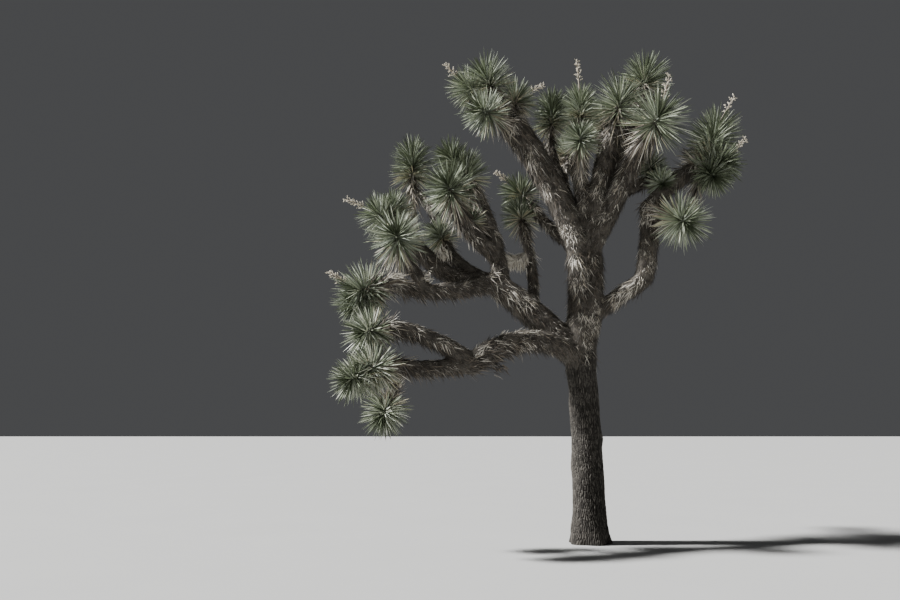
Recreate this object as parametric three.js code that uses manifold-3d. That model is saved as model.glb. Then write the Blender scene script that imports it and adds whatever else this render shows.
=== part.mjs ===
// A joshua tree, in millimetres: X to the right, Y to the back, Z up, ground at Z = 0.
// The trunk stands on the origin. Every limb grows from the middle of the limb it forks off,
// and every head of leaves grows on a short stem from its limb.
import * as THREE from 'three';
import Module from 'manifold-3d';

const wasm = await Module();
wasm.setup();

// Main sizes
const TRUNK_HEIGHT = 2150;
const TRUNK_LEAN = -60;
const BASE_RADIUS = 188;
const FLARE_LOBES = 5;
const FLARE_DEPTH = 0.09;
const FLARE_MEAN = 0.6;
const FLARE_HEIGHT = 330;
const TRUNK_DOME = 49;
const CLEARANCE = 0.4;

// How a limb is rounded off, as shares of the radius at its tip
const SHOULDER_OUT = 0.4;
const SHOULDER_RADIUS = 0.72;
const END_OUT = 0.62;

// How finely the round pieces are made
const TRUNK_SIDES = 12;
const LIMB_SIDES = 7;
const LIMB_STEP = 280;
const FEWEST_STEPS = 3;
const STEM_SIDES = 6;

// Leaves: a stiff keeled blade, sunk in the core and widest before its middle.
// Sizes are shares of the leaf's length, angles are in degrees from the stem's line.
const LEAF_WIDTH = 0.23;
const LEAF_THICKNESS = 0.07;
const LEAF_WIDEST = 0.46;
const LEAF_SUNK = 0.5;
const LEAF_CLEARANCE = 1.5;
const POINT_CLEARANCE = 4 * LEAF_CLEARANCE;
const FIRST_LEAF_ANGLE = 14;
const LAST_LEAF_ANGLE = 116;
const GOLDEN_ANGLE = 137.508;
const TURN_SPREAD = 0.3;
const LENGTH_SPREAD = 0.08;
const SHORTER_TRIES = [1, 0.84, 0.7];

// A head of two rosettes: leaves on each, and the size of the second
const PAIR_SHARE = 0.62;
const PAIR_LENGTH = 0.85;

// The stem and the core of a rosette, as shares of the leaf's length, and the core's shape:
// shares along the leafy stretch or out past the middle, and of the core's radius
const STEM_SHARE = 0.21;
const CORE_SHARE = 0.38;
const CORE_BACK = [0.8, 0.85];
const CORE_FRONT = 0.2;
const CORE_SHOULDER = [0.45, 0.72];
const CORE_END = 0.85;
const BARE_SHARE = 0.3;

const WOOD_COLOURS = { trunk: 0x6a645c, bough: 0x857e73, dead: 0xa39c90 };
const LEAF_COLOUR = 0x7d8672;

// Radius of the trunk at shares of its height: the flare, the long taper, the swelling fork
const TRUNK_PROFILE = [
  [0, 1.12], [0.04, 1.06], [0.1, 0.99], [0.18, 0.95], [0.32, 0.92], [0.5, 0.87],
  [0.68, 0.83], [0.82, 0.86], [0.92, 0.92], [0.98, 0.8], [1, 0.5],
];

const radians = (degrees) => degrees * Math.PI / 180;

// The view that the places below are read in: where the eye stands, how far it looks up in degrees,
// the focal length in pixels, and the pixel at the picture's middle
const EYE = { x: -1470, y: -8700, z: 1150 };
const EYE_TILT = 9.37;
const FOCAL_PIXELS = 800;
const PICTURE_MIDDLE = { across: 450, down: 300 };

// The place that shows at a pixel, counted across and down, and lies so far behind the trunk
function seen(across, down, behind) {
  const tilt = radians(EYE_TILT);
  const right = (across - PICTURE_MIDDLE.across) / FOCAL_PIXELS;
  const up = (PICTURE_MIDDLE.down - down) / FOCAL_PIXELS;
  const reach = (behind - EYE.y) / (Math.cos(tilt) - up * Math.sin(tilt));
  const height = EYE.z + (Math.sin(tilt) + up * Math.cos(tilt)) * reach;
  return [EYE.x + right * reach, behind, height];
}

// Limbs: name, the limb it forks from and how far along, the place of its tip,
// the place of its middle, radius at the foot and at the tip. The back boughs don't show.
const LIMBS = [
  ['bough_left_great', 'trunk', 0.9, seen(492, 281, 50), seen(532, 313, 0), 176, 138],
  ['bough_centre', 'trunk', 0.9, seen(590, 236, 10), seen(591, 297, 0), 150, 120],
  ['bough_upper_left_foot', 'trunk', 0.95, seen(576, 243, -20), seen(581, 296, -30), 180, 112],
  ['bough_upper_left', 'bough_upper_left_foot', 0.97, seen(514, 127, -100), seen(551, 185, -60), 134, 160],
  ['bough_right_low', 'bough_centre', 0.34, seen(645, 279, -150), seen(618, 297, -60), 100, 96],
  ['bough_low_arch', 'trunk', 0.92, seen(468, 366, -500), seen(524, 341, -270), 122, 118],
  ['bough_left_sagging', 'bough_left_great', 0.98, seen(386, 283, -470), seen(438, 291, -220), 104, 70],
  ['bough_left_front', 'bough_left_sagging', 0.6, seen(400, 250, -500), seen(412, 268, -380), 78, 66],
  ['bough_left_middle', 'bough_left_great', 0.94, seen(404, 232, 0), seen(448, 274, 40), 114, 98],
  ['bough_left_upright', 'bough_left_great', 0.88, seen(470, 186, 150), seen(493, 239, 90), 104, 94],
  ['bough_left_inner', 'bough_left_great', 0.99, seen(446, 246, 290), seen(461, 265, 190), 80, 66],
  ['bough_left_thin', 'bough_left_inner', 0.75, seen(413, 192, 470), seen(431, 209, 390), 60, 52],
  ['bough_left_raised', 'bough_left_upright', 0.32, seen(458, 210, -180), seen(475, 236, -70), 100, 94],
  ['dead_limb_curled', 'bough_left_upright', 0.37, seen(525, 254, 200), seen(513, 260, 160), 50, 36],
  ['bough_gap_upright', 'bough_left_great', 0.48, seen(524, 228, 400), seen(532, 272, 210), 70, 56],
  ['bough_gap_slant', 'bough_upper_left_foot', 0.93, seen(534, 209, 450), seen(553, 230, 220), 72, 60],
  ['bough_centre_left', 'bough_centre', 0.97, seen(551, 151, 400), seen(565, 192, 220), 84, 66],
  ['bough_centre_mid', 'bough_centre', 0.99, seen(580, 135, 100), seen(581, 187, 20), 100, 80],
  ['bough_centre_right', 'bough_centre', 0.95, seen(614, 132, -50), seen(600, 184, -40), 122, 104],
  ['bough_centre_back', 'bough_centre_right', 0.4, seen(638, 106, 200), seen(620, 153, 100), 96, 80],
  ['bough_right_inner', 'bough_centre', 0.9, seen(638, 150, -330), seen(615, 202, -170), 114, 94],
  ['bough_right_back', 'bough_right_inner', 0.62, seen(655, 178, 120), seen(640, 184, -20), 74, 62],
  ['bough_right_upright', 'bough_right_low', 0.97, seen(648, 205, -120), seen(649, 243, -130), 112, 100],
  ['bough_right_outer', 'bough_right_upright', 0.93, seen(704, 166, 0), seen(675, 182, -70), 104, 94],
  ['bough_low_upper', 'bough_low_arch', 0.96, seen(390, 327, -800), seen(433, 340, -660), 104, 84],
  ['bough_low_middle', 'bough_low_arch', 0.98, seen(392, 364, -900), seen(430, 368, -700), 96, 74],
  ['bough_low_hanging', 'bough_low_middle', 0.8, seen(394, 388, -510), seen(394, 376, -640), 60, 48],
  ['bough_back_right', 'bough_centre', 0.94, [450, 850, 4640], [300, 490, 3940], 84, 66],
  ['bough_back_middle', 'bough_upper_left', 0.28, [-30, 740, 4380], [-160, 420, 3980], 74, 58],
  ['bough_back_left', 'bough_left_upright', 0.5, [-1360, 860, 3880], [-1180, 520, 3550], 72, 56],
];

// Heads of leaves: name, limb, share, leaf length, leafy length of the stem,
// number of leaves, seed, the rosette's middle, and for a few a second rosette
const HEADS = [
  ['leaves_far_left', 'bough_left_sagging', 1, 325, 150, 16, 11,
    seen(358, 291, -600), seen(354, 306, -520)],
  ['leaves_left_front', 'bough_left_front', 1, 335, 110, 17, 12, seen(396, 235, -690)],
  ['leaves_left_outer', 'bough_left_middle', 1, 300, 130, 16, 13, seen(378, 213, -50), seen(393, 206, 80)],
  ['leaves_left_inner', 'bough_left_inner', 1, 240, 120, 13, 14, seen(438, 231, 300)],
  ['leaves_left_tall', 'bough_left_thin', 1, 290, 330, 18, 15, seen(412, 153, 560)],
  ['leaves_left_raised', 'bough_left_raised', 1, 335, 130, 17, 16, seen(448, 185, -380)],
  ['leaves_left_upright', 'bough_left_upright', 1, 310, 150, 17, 17,
    seen(464, 169, 200), seen(450, 155, 230)],
  ['leaves_left_shaded', 'bough_left_upright', 0.55, 200, 80, 11, 18, seen(467, 219, -100)],
  ['leaves_gap_upper', 'bough_gap_slant', 1, 280, 130, 15, 19, seen(518, 191, 650)],
  ['leaves_gap_lower', 'bough_gap_upright', 1, 270, 110, 15, 20, seen(520, 213, 500)],
  ['leaves_top_left_front', 'bough_upper_left', 0.97, 290, 120, 17, 21, seen(482, 110, -390)],
  ['leaves_top_left', 'bough_upper_left', 1, 330, 170, 16, 22, seen(485, 76, -60), seen(466, 86, 70)],
  ['leaves_top_left_inner', 'bough_upper_left', 0.98, 280, 120, 15, 23, seen(515, 98, 250)],
  ['leaves_centre_left', 'bough_centre_left', 1, 255, 330, 17, 24, seen(552, 102, 500)],
  ['leaves_centre_top', 'bough_centre_mid', 1, 250, 300, 17, 25, seen(580, 98, 200)],
  ['leaves_centre_front', 'bough_centre_mid', 0.5, 250, 110, 16, 26, seen(580, 136, -360)],
  ['leaves_top_right_left', 'bough_centre_right', 1, 375, 170, 17, 27, seen(621, 98, -150)],
  ['leaves_top_right', 'bough_centre_back', 1, 355, 170, 17, 28, seen(646, 76, 350)],
  ['leaves_right_front', 'bough_right_inner', 1, 400, 130, 18, 29, seen(659, 116, -610)],
  ['leaves_right_inner', 'bough_right_back', 1, 235, 120, 16, 30, seen(649, 164, 20), seen(663, 184, -150)],
  ['leaves_right_outer', 'bough_right_outer', 1, 340, 380, 17, 31, seen(717, 127, 80)],
  ['leaves_right_droop', 'bough_right_outer', 0.97, 315, 200, 16, 32,
    seen(724, 162, -160), seen(714, 177, -190)],
  ['leaves_right_low', 'bough_right_upright', 0.98, 330, 110, 17, 33, seen(685, 222, -530)],
  ['leaves_low_upper', 'bough_low_upper', 1, 275, 110, 15, 34, seen(365, 332, -950)],
  ['leaves_low_middle', 'bough_low_middle', 1, 295, 140, 16, 35,
    seen(367, 369, -1110), seen(350, 380, -1170)],
  ['leaves_low_hanging', 'bough_low_hanging', 1, 265, 110, 15, 36, seen(383, 416, -650)],
  ['leaves_back_right', 'bough_back_right', 1, 325, 160, 16, 37, [570, 1190, 5130]],
  ['leaves_back_middle', 'bough_back_middle', 1, 290, 150, 15, 38, [30, 1040, 4680]],
  ['leaves_back_left', 'bough_back_left', 1, 270, 130, 15, 39, [-1500, 1140, 4100]],
];

// Dried flower stalks: head, length, and the way each one points
const STALKS = [
  ['leaves_centre_top', 480, [-0.05, 0, 1]],
  ['leaves_right_front', 520, [0.3, 0.1, 1]],
  ['leaves_right_outer', 470, [0.6, 0.1, 1]],
  ['leaves_left_outer', 400, [-0.9, 0, 0.4]],
];
const STALK_RADIUS = 30;
const STALK_SIDES = 5;
const STALK_STAGES = [[0, 0.5], [0.45, 0.5], [0.62, 1], [0.85, 0.8]];

// Steady random numbers from 0 to 1
const DICE_SEED_STEP = 7919;
const DICE_STEP = 16807;
const DICE_RANGE = 2147483647;

function dice(seed) {
  let state = seed * DICE_SEED_STEP + 17;
  return () => {
    state = (state * DICE_STEP) % DICE_RANGE;
    return state / DICE_RANGE;
  };
}

const vec = (xyz) => new THREE.Vector3(...xyz);
const SIDEWAYS = vec([0.3, 0.9, 0.2]);
const mix = (a, b, share) => a + (b - a) * share;

// A closed skin over rings of equally many points, with a point at each end
function skin(rings, footPoint, tipPoint) {
  const sides = rings[0].length;
  const points = [footPoint, ...rings.flat(), tipPoint];
  const faces = [];
  const at = (ring, side) => 1 + ring * sides + (side % sides);
  for (let side = 0; side < sides; side += 1) {
    faces.push(0, at(0, side + 1), at(0, side));
    for (let ring = 0; ring + 1 < rings.length; ring += 1) {
      faces.push(at(ring, side), at(ring, side + 1), at(ring + 1, side + 1));
      faces.push(at(ring, side), at(ring + 1, side + 1), at(ring + 1, side));
    }
    faces.push(at(rings.length - 1, side), at(rings.length - 1, side + 1), points.length - 1);
  }
  const geometry = new THREE.BufferGeometry();
  const places = points.flatMap((point) => point.toArray());
  geometry.setAttribute('position', new THREE.Float32BufferAttribute(places, 3));
  geometry.setIndex(faces);
  return geometry;
}

// A ring of points round a middle, in the plane of two directions
function ringOf(middle, across, over, radius, sides) {
  const points = [];
  for (let side = 0; side < sides; side += 1) {
    const angle = 2 * Math.PI * side / sides;
    points.push(middle.clone()
      .addScaledVector(across, Math.cos(angle) * radius)
      .addScaledVector(over, Math.sin(angle) * radius));
  }
  return points;
}

// Two directions square to a line, turning right-handed round it
function squareTo(line, hint) {
  const across = new THREE.Vector3().crossVectors(hint, line).normalize();
  const over = new THREE.Vector3().crossVectors(line, across);
  return [across, over];
}

// From a geometry to a solid for joining and cutting, and back
function solidOf(geometry) {
  return new wasm.Manifold(new wasm.Mesh({
    numProp: 3,
    vertProperties: new Float32Array(geometry.attributes.position.array),
    triVerts: new Uint32Array(geometry.index.array),
  }));
}

function geometryOf(solid) {
  const mesh = solid.getMesh();
  const geometry = new THREE.BufferGeometry();
  geometry.setAttribute('position', new THREE.Float32BufferAttribute(mesh.vertProperties, 3));
  geometry.setIndex(Array.from(mesh.triVerts));
  geometry.computeVertexNormals();
  return geometry;
}

// The largest closed body of a cut solid: loose scraps fall away
function largest(solid) {
  const bodies = solid.decompose();
  bodies.sort((a, b) => b.volume() - a.volume());
  return bodies[0];
}

function boxesMeet(a, b) {
  const [p, q] = [a.boundingBox(), b.boundingBox()];
  return [0, 1, 2].every((i) => p.min[i] < q.max[i] && q.min[i] < p.max[i]);
}

// The trunk: round, leaning a little, with lobes where the roots begin and a flat cut below
function trunkSolid(extra) {
  const rings = TRUNK_PROFILE.map(([share, size]) => {
    const height = share * TRUNK_HEIGHT;
    const raised = share > TRUNK_PROFILE[1][0] ? extra : 0;
    const middle = new THREE.Vector3(TRUNK_LEAN * share, 0, height + raised);
    const flare = FLARE_DEPTH * Math.max(0, 1 - height / FLARE_HEIGHT) ** 2;
    const ring = ringOf(middle, vec([1, 0, 0]), vec([0, 1, 0]), 1, TRUNK_SIDES);
    ring.forEach((point, side) => {
      const angle = 2 * Math.PI * side / TRUNK_SIDES;
      const lobe = 1 + flare * (FLARE_MEAN + Math.cos(FLARE_LOBES * angle));
      point.sub(middle).multiplyScalar(BASE_RADIUS * size * lobe + extra).add(middle);
    });
    return ring;
  });
  const top = new THREE.Vector3(TRUNK_LEAN, 0, TRUNK_HEIGHT + TRUNK_DOME + extra);
  return solidOf(skin(rings, new THREE.Vector3(0, 0, 0), top));
}

// A limb's bend: from its foot on the parent's middle line, through its middle, to its tip
function limbCurve(foot, tip, middle) {
  const bend = middle.clone().multiplyScalar(2).sub(foot.clone().add(tip).multiplyScalar(0.5));
  return new THREE.QuadraticBezierCurve3(foot, bend, tip);
}

// A tapering limb along its bend, rounded off at the tip
function limbSolid(curve, footRadius, tipRadius, extra) {
  const chord = curve.v2.clone().sub(curve.v0);
  const square = curve.v1.clone().sub(curve.v0).cross(chord);
  const hint = square.length() > 1 ? square : vec([0, 1, 0]);
  const steps = Math.max(FEWEST_STEPS, Math.round(curve.getLength() / LIMB_STEP));
  const rings = [];
  for (let step = 0; step <= steps; step += 1) {
    const share = step / steps;
    const line = curve.getTangent(share);
    const [across, over] = squareTo(line, hint);
    const middle = curve.getPoint(share).addScaledVector(line, step === 0 ? -extra : 0);
    rings.push(ringOf(middle, across, over, mix(footRadius, tipRadius, share) + extra, LIMB_SIDES));
  }
  const end = curve.getTangent(1);
  const [across, over] = squareTo(end, hint);
  const shoulder = curve.getPoint(1).addScaledVector(end, tipRadius * SHOULDER_OUT + extra);
  rings.push(ringOf(shoulder, across, over, tipRadius * SHOULDER_RADIUS + extra, LIMB_SIDES));
  const foot = curve.getPoint(0).addScaledVector(curve.getTangent(0), -extra);
  const tip = curve.getPoint(1).addScaledVector(end, tipRadius * END_OUT + extra);
  return solidOf(skin(rings, foot, tip));
}

// The stem of a head: thin at its foot, then a small core that the leaves are sunk in
function stemSolid(foot, middle, leafLength, leafyLength, extra) {
  const line = middle.clone().sub(foot).normalize();
  const [across, over] = squareTo(line, SIDEWAYS);
  const full = foot.distanceTo(middle);
  const core = leafLength * CORE_SHARE;
  const thin = leafLength * STEM_SHARE;
  const stages = [
    [-extra, thin],
    [Math.max(full - leafyLength - core, full * BARE_SHARE), thin],
    [full - leafyLength * CORE_BACK[0], core * CORE_BACK[1]],
    [full - leafyLength * CORE_FRONT, core],
    [full + core * CORE_SHOULDER[0], core * CORE_SHOULDER[1]],
  ];
  const rings = stages.map(([along, radius]) => (
    ringOf(foot.clone().addScaledVector(line, along), across, over, radius + extra, STEM_SIDES)));
  const tip = middle.clone().addScaledVector(line, core * CORE_END + extra);
  return solidOf(skin(rings, foot.clone().addScaledVector(line, -extra), tip));
}

// One leaf: a keeled blade from a root inside the core to its point
function leafSolid(heart, way, axis, length, extra, pointExtra) {
  const [across, over] = squareTo(way, axis);
  const root = heart.clone().addScaledVector(way, length * CORE_SHARE * LEAF_SUNK);
  const widest = heart.clone().addScaledVector(way, length * LEAF_WIDEST);
  const half = length * LEAF_WIDTH / 2 + extra;
  const keel = length * LEAF_THICKNESS / 2 + extra;
  const ring = [
    widest.clone().addScaledVector(across, half).addScaledVector(over, keel),
    widest.clone().addScaledVector(across, -half).addScaledVector(over, keel),
    widest.clone().addScaledVector(over, -keel),
  ];
  return solidOf(skin([ring], root, heart.clone().addScaledVector(way, length + pointExtra)));
}

// A dried flower stalk: a spike that swells past its middle
function stalkSolid(root, way, length) {
  const [across, over] = squareTo(way, SIDEWAYS);
  const rings = STALK_STAGES.map(([share, size]) => {
    const middle = root.clone().addScaledVector(way, share * length);
    return ringOf(middle, across, over, STALK_RADIUS * size, STALK_SIDES);
  });
  return solidOf(skin(rings, root, root.clone().addScaledVector(way, length)));
}

// The way leaf number i of a rosette points, spread evenly from the front to the back
function leafWay(axis, turn, share) {
  const first = Math.cos(radians(FIRST_LEAF_ANGLE));
  const last = Math.cos(radians(LAST_LEAF_ANGLE));
  const cosine = mix(first, last, share);
  const sine = Math.sqrt(1 - cosine * cosine);
  const [across, over] = squareTo(axis, SIDEWAYS);
  return axis.clone().multiplyScalar(cosine)
    .addScaledVector(across, sine * Math.cos(turn))
    .addScaledVector(over, sine * Math.sin(turn))
    .normalize();
}

// The rosettes of a head: each has its own stem from the same foot
function rosettesOf(head) {
  const [, limb, share, leafLength, leafyLength, leaves, , ...middles] = head;
  const foot = curves[limb].getPoint(share);
  return middles.map((xyz, index) => ({
    foot,
    middle: vec(xyz),
    axis: vec(xyz).sub(foot).normalize(),
    leafLength: index ? leafLength * PAIR_LENGTH : leafLength,
    leafyLength,
    leaves: Math.round(leaves * (middles.length > 1 ? PAIR_SHARE : 1)),
  }));
}

function stemsOf(head, extra) {
  const parts = rosettesOf(head).map((rosette) => (
    stemSolid(rosette.foot, rosette.middle, rosette.leafLength, rosette.leafyLength, extra)));
  return parts.reduce((all, stem) => all.add(stem));
}

// All limbs, each cut clear of those before it
const curves = {
  trunk: new THREE.QuadraticBezierCurve3(
    vec([0, 0, 0]), vec([TRUNK_LEAN / 2, 0, TRUNK_HEIGHT / 2]), vec([TRUNK_LEAN, 0, TRUNK_HEIGHT])),
};
const solids = { trunk: trunkSolid(0) };
const keepOff = [trunkSolid(CLEARANCE)];

function cutClear(solid, others) {
  const near = others.filter((other) => boxesMeet(solid, other));
  return near.reduce((rest, other) => rest.subtract(other), solid);
}

for (const [name, parent, share, tip, middle, footRadius, tipRadius] of LIMBS) {
  const curve = limbCurve(curves[parent].getPoint(share), vec(tip), vec(middle));
  curves[name] = curve;
  solids[name] = largest(cutClear(limbSolid(curve, footRadius, tipRadius, 0), keepOff));
  keepOff.push(limbSolid(curve, footRadius, tipRadius, CLEARANCE));
}

// The stems of all heads first, so that leaves can keep off every one of them
const stems = {};
const stemKeepOff = {};
for (const head of HEADS) {
  const earlier = Object.values(stemKeepOff);
  stems[head[0]] = largest(cutClear(stemsOf(head, 0), [...keepOff, ...earlier]));
  stemKeepOff[head[0]] = stemsOf(head, CLEARANCE);
}

// A leaf that would touch a limb or another head is made shorter, and left out if it still does
const leafKeepOff = [];
for (const head of HEADS) {
  const [name] = head;
  const others = Object.keys(stemKeepOff).filter((key) => key !== name).map((key) => stemKeepOff[key]);
  const obstacles = [...keepOff, ...others, ...leafKeepOff];
  const random = dice(head[6]);
  const own = [];
  let solid = stems[name];
  for (const rosette of rosettesOf(head)) {
    const start = random() * 2 * Math.PI;
    for (let leaf = 0; leaf < rosette.leaves; leaf += 1) {
      const share = leaf / (rosette.leaves - 1);
      const turn = start + radians(GOLDEN_ANGLE) * leaf + (random() - 0.5) * TURN_SPREAD;
      const way = leafWay(rosette.axis, turn, share);
      const root = rosette.middle.clone().addScaledVector(rosette.axis, -rosette.leafyLength * share);
      const length = rosette.leafLength * mix(1 - LENGTH_SPREAD, 1 + LENGTH_SPREAD, random());
      for (const size of SHORTER_TRIES) {
        const test = leafSolid(
          root, way, rosette.axis, length * size, LEAF_CLEARANCE, POINT_CLEARANCE);
        const near = obstacles.filter((other) => boxesMeet(test, other));
        if (near.every((other) => test.intersect(other).isEmpty())) {
          solid = solid.add(leafSolid(root, way, rosette.axis, length * size, 0, 0));
          own.push(test);
          break;
        }
      }
    }
  }
  for (const [owner, length, way] of STALKS) {
    if (owner === name) {
      const root = rosettesOf(head)[0].middle;
      solid = solid.add(stalkSolid(root, vec(way).normalize(), length));
    }
  }
  solids[name] = largest(solid);
  leafKeepOff.push(...own);
}

// Each piece becomes one named mesh with its own material
function materialOf(name) {
  const colour = name.startsWith('leaves') ? LEAF_COLOUR
    : name === 'trunk' ? WOOD_COLOURS.trunk
      : name.startsWith('dead') ? WOOD_COLOURS.dead : WOOD_COLOURS.bough;
  return new THREE.MeshStandardMaterial({ color: colour, roughness: 0.9, metalness: 0 });
}

const group = new THREE.Group();
group.name = 'joshua_tree';
for (const [name, solid] of Object.entries(solids)) {
  const mesh = new THREE.Mesh(geometryOf(solid), materialOf(name));
  mesh.name = name;
  group.add(mesh);
}

export default group;
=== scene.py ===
# %% [markdown]
# # A joshua tree
#
# A grown joshua tree is a stout corky trunk that forks again and again. Every limb wears a thatch
# of its own dead leaves, bent back towards its foot, and ends in a round head of stiff live leaves.
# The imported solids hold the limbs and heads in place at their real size. This file dresses them.
# Everything is in metres, in the frame of the solids: X right, Y back, Z up, ground at Z = 0.

# %% Frame
import itertools
import math

import bpy
import numpy as np
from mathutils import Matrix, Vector


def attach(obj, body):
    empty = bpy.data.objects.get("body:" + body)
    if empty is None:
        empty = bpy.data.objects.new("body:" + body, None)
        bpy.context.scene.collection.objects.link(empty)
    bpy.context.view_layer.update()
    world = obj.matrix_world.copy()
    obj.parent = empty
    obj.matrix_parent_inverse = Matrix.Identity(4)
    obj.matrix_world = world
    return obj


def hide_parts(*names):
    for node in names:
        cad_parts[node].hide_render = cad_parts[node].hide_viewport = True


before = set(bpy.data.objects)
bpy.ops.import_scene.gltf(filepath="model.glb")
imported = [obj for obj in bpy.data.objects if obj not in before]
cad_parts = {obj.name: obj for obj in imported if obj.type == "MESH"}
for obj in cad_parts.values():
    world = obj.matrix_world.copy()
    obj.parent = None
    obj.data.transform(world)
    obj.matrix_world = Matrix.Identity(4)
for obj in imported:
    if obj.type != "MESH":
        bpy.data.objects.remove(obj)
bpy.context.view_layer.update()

# %% [markdown]
# ## Camera
#
# The tree is seen from just below its fork, looking a little up, so the horizon is low and the
# heads stand against the sky. One fixed camera of medium width gives that view.

# %% Camera
CAMERA_PLACE = (-1.47, -8.70, 1.15)
CAMERA_TILT = 9.37
CAMERA_LENS = 32
CAMERA_SENSOR = 36


def add_object(name, data):
    """Puts a mesh, a lamp or a camera into the scene."""
    made = bpy.data.objects.new(name, data)
    bpy.context.scene.collection.objects.link(made)
    return made


lens = bpy.data.cameras.new("camera")
lens.lens = CAMERA_LENS
lens.sensor_width = CAMERA_SENSOR
camera = add_object("camera", lens)
camera.location = CAMERA_PLACE
camera.rotation_euler = (math.radians(90 + CAMERA_TILT), 0, 0)
bpy.context.scene.camera = camera
print("camera at", CAMERA_PLACE)

# %% [markdown]
# ## The tree's plan
#
# The limbs and heads stand where the solids have them, so this is the same plan. Most places are
# read in the camera's view: a pixel across, a pixel down, and how far behind the trunk the place
# lies. One formula turns that into a place in metres. Limb names leave out the word bough and
# head names the word leaves, which the nodes have in front.

# %% Limbs and heads
TRUNK_HEIGHT = 2.15
TRUNK_LEAN = -0.06
TRUNK_BOW = 0.018
BASE_RADIUS = 0.188
FLARE_LOBES = 5
FLARE_DEPTH = 0.09
FLARE_MEAN = 0.6
FLARE_HEIGHT = 0.33

PICTURE_ACROSS = 900
PICTURE_MIDDLE = (450, 300)


def seen(across, down, behind):
    """The place that shows at a pixel across and down and lies so far behind the trunk."""
    tilt = math.radians(CAMERA_TILT)
    focal = CAMERA_LENS / CAMERA_SENSOR * PICTURE_ACROSS
    right = (across - PICTURE_MIDDLE[0]) / focal
    up = (PICTURE_MIDDLE[1] - down) / focal
    reach = (behind - CAMERA_PLACE[1]) / (math.cos(tilt) - up * math.sin(tilt))
    height = CAMERA_PLACE[2] + (math.sin(tilt) + up * math.cos(tilt)) * reach
    return (CAMERA_PLACE[0] + right * reach, behind, height)


# Radius of the trunk at shares of its height: the flare, the long taper, the swelling fork
TRUNK_PROFILE = [
    (0, 1.12), (0.04, 1.06), (0.1, 0.99), (0.18, 0.95), (0.32, 0.92), (0.5, 0.87),
    (0.68, 0.83), (0.82, 0.86), (0.92, 0.92), (0.98, 0.8), (1, 0.5),
]

# Limbs: name, parent, share along it, the places of its tip and of its middle, radius at the foot
# and at the tip. The back boughs don't show, so their places are plain sizes.
LIMBS = [
    ("left_great", "trunk", 0.9, seen(492, 281, 0.05), seen(532, 313, 0), 0.176, 0.138),
    ("centre", "trunk", 0.9, seen(590, 236, 0.01), seen(591, 297, 0), 0.15, 0.12),
    ("upper_left_foot", "trunk", 0.95, seen(576, 243, -0.02), seen(581, 296, -0.03), 0.18, 0.112),
    ("upper_left", "upper_left_foot", 0.97, seen(514, 127, -0.1), seen(551, 185, -0.06), 0.134, 0.16),
    ("right_low", "centre", 0.34, seen(645, 279, -0.15), seen(618, 297, -0.06), 0.1, 0.096),
    ("low_arch", "trunk", 0.92, seen(468, 366, -0.5), seen(524, 341, -0.27), 0.122, 0.118),
    ("left_sagging", "left_great", 0.98, seen(386, 283, -0.47), seen(438, 291, -0.22), 0.104, 0.07),
    ("left_front", "left_sagging", 0.6, seen(400, 250, -0.5), seen(412, 268, -0.38), 0.078, 0.066),
    ("left_middle", "left_great", 0.94, seen(404, 232, 0), seen(448, 274, 0.04), 0.114, 0.098),
    ("left_upright", "left_great", 0.88, seen(470, 186, 0.15), seen(493, 239, 0.09), 0.104, 0.094),
    ("left_inner", "left_great", 0.99, seen(446, 246, 0.29), seen(461, 265, 0.19), 0.08, 0.066),
    ("left_thin", "left_inner", 0.75, seen(413, 192, 0.47), seen(431, 209, 0.39), 0.06, 0.052),
    ("left_raised", "left_upright", 0.32, seen(458, 210, -0.18), seen(475, 236, -0.07), 0.1, 0.094),
    ("dead_limb_curled", "left_upright", 0.37, seen(525, 254, 0.2), seen(513, 260, 0.16), 0.05, 0.036),
    ("gap_upright", "left_great", 0.48, seen(524, 228, 0.4), seen(532, 272, 0.21), 0.07, 0.056),
    ("gap_slant", "upper_left_foot", 0.93, seen(534, 209, 0.45), seen(553, 230, 0.22), 0.072, 0.06),
    ("centre_left", "centre", 0.97, seen(551, 151, 0.4), seen(565, 192, 0.22), 0.084, 0.066),
    ("centre_mid", "centre", 0.99, seen(580, 135, 0.1), seen(581, 187, 0.02), 0.1, 0.08),
    ("centre_right", "centre", 0.95, seen(614, 132, -0.05), seen(600, 184, -0.04), 0.122, 0.104),
    ("centre_back", "centre_right", 0.4, seen(638, 106, 0.2), seen(620, 153, 0.1), 0.096, 0.08),
    ("right_inner", "centre", 0.9, seen(638, 150, -0.33), seen(615, 202, -0.17), 0.114, 0.094),
    ("right_back", "right_inner", 0.62, seen(655, 178, 0.12), seen(640, 184, -0.02), 0.074, 0.062),
    ("right_upright", "right_low", 0.97, seen(648, 205, -0.12), seen(649, 243, -0.13), 0.112, 0.1),
    ("right_outer", "right_upright", 0.93, seen(704, 166, 0), seen(675, 182, -0.07), 0.104, 0.094),
    ("low_upper", "low_arch", 0.96, seen(390, 327, -0.8), seen(433, 340, -0.66), 0.104, 0.084),
    ("low_middle", "low_arch", 0.98, seen(392, 364, -0.9), seen(430, 368, -0.7), 0.096, 0.074),
    ("low_hanging", "low_middle", 0.8, seen(394, 388, -0.51), seen(394, 376, -0.64), 0.06, 0.048),
    ("back_right", "centre", 0.94, (0.45, 0.85, 4.64), (0.3, 0.49, 3.94), 0.084, 0.066),
    ("back_middle", "upper_left", 0.28, (-0.03, 0.74, 4.38), (-0.16, 0.42, 3.98), 0.074, 0.058),
    ("back_left", "left_upright", 0.5, (-1.36, 0.86, 3.88), (-1.18, 0.52, 3.55), 0.072, 0.056),
]

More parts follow.
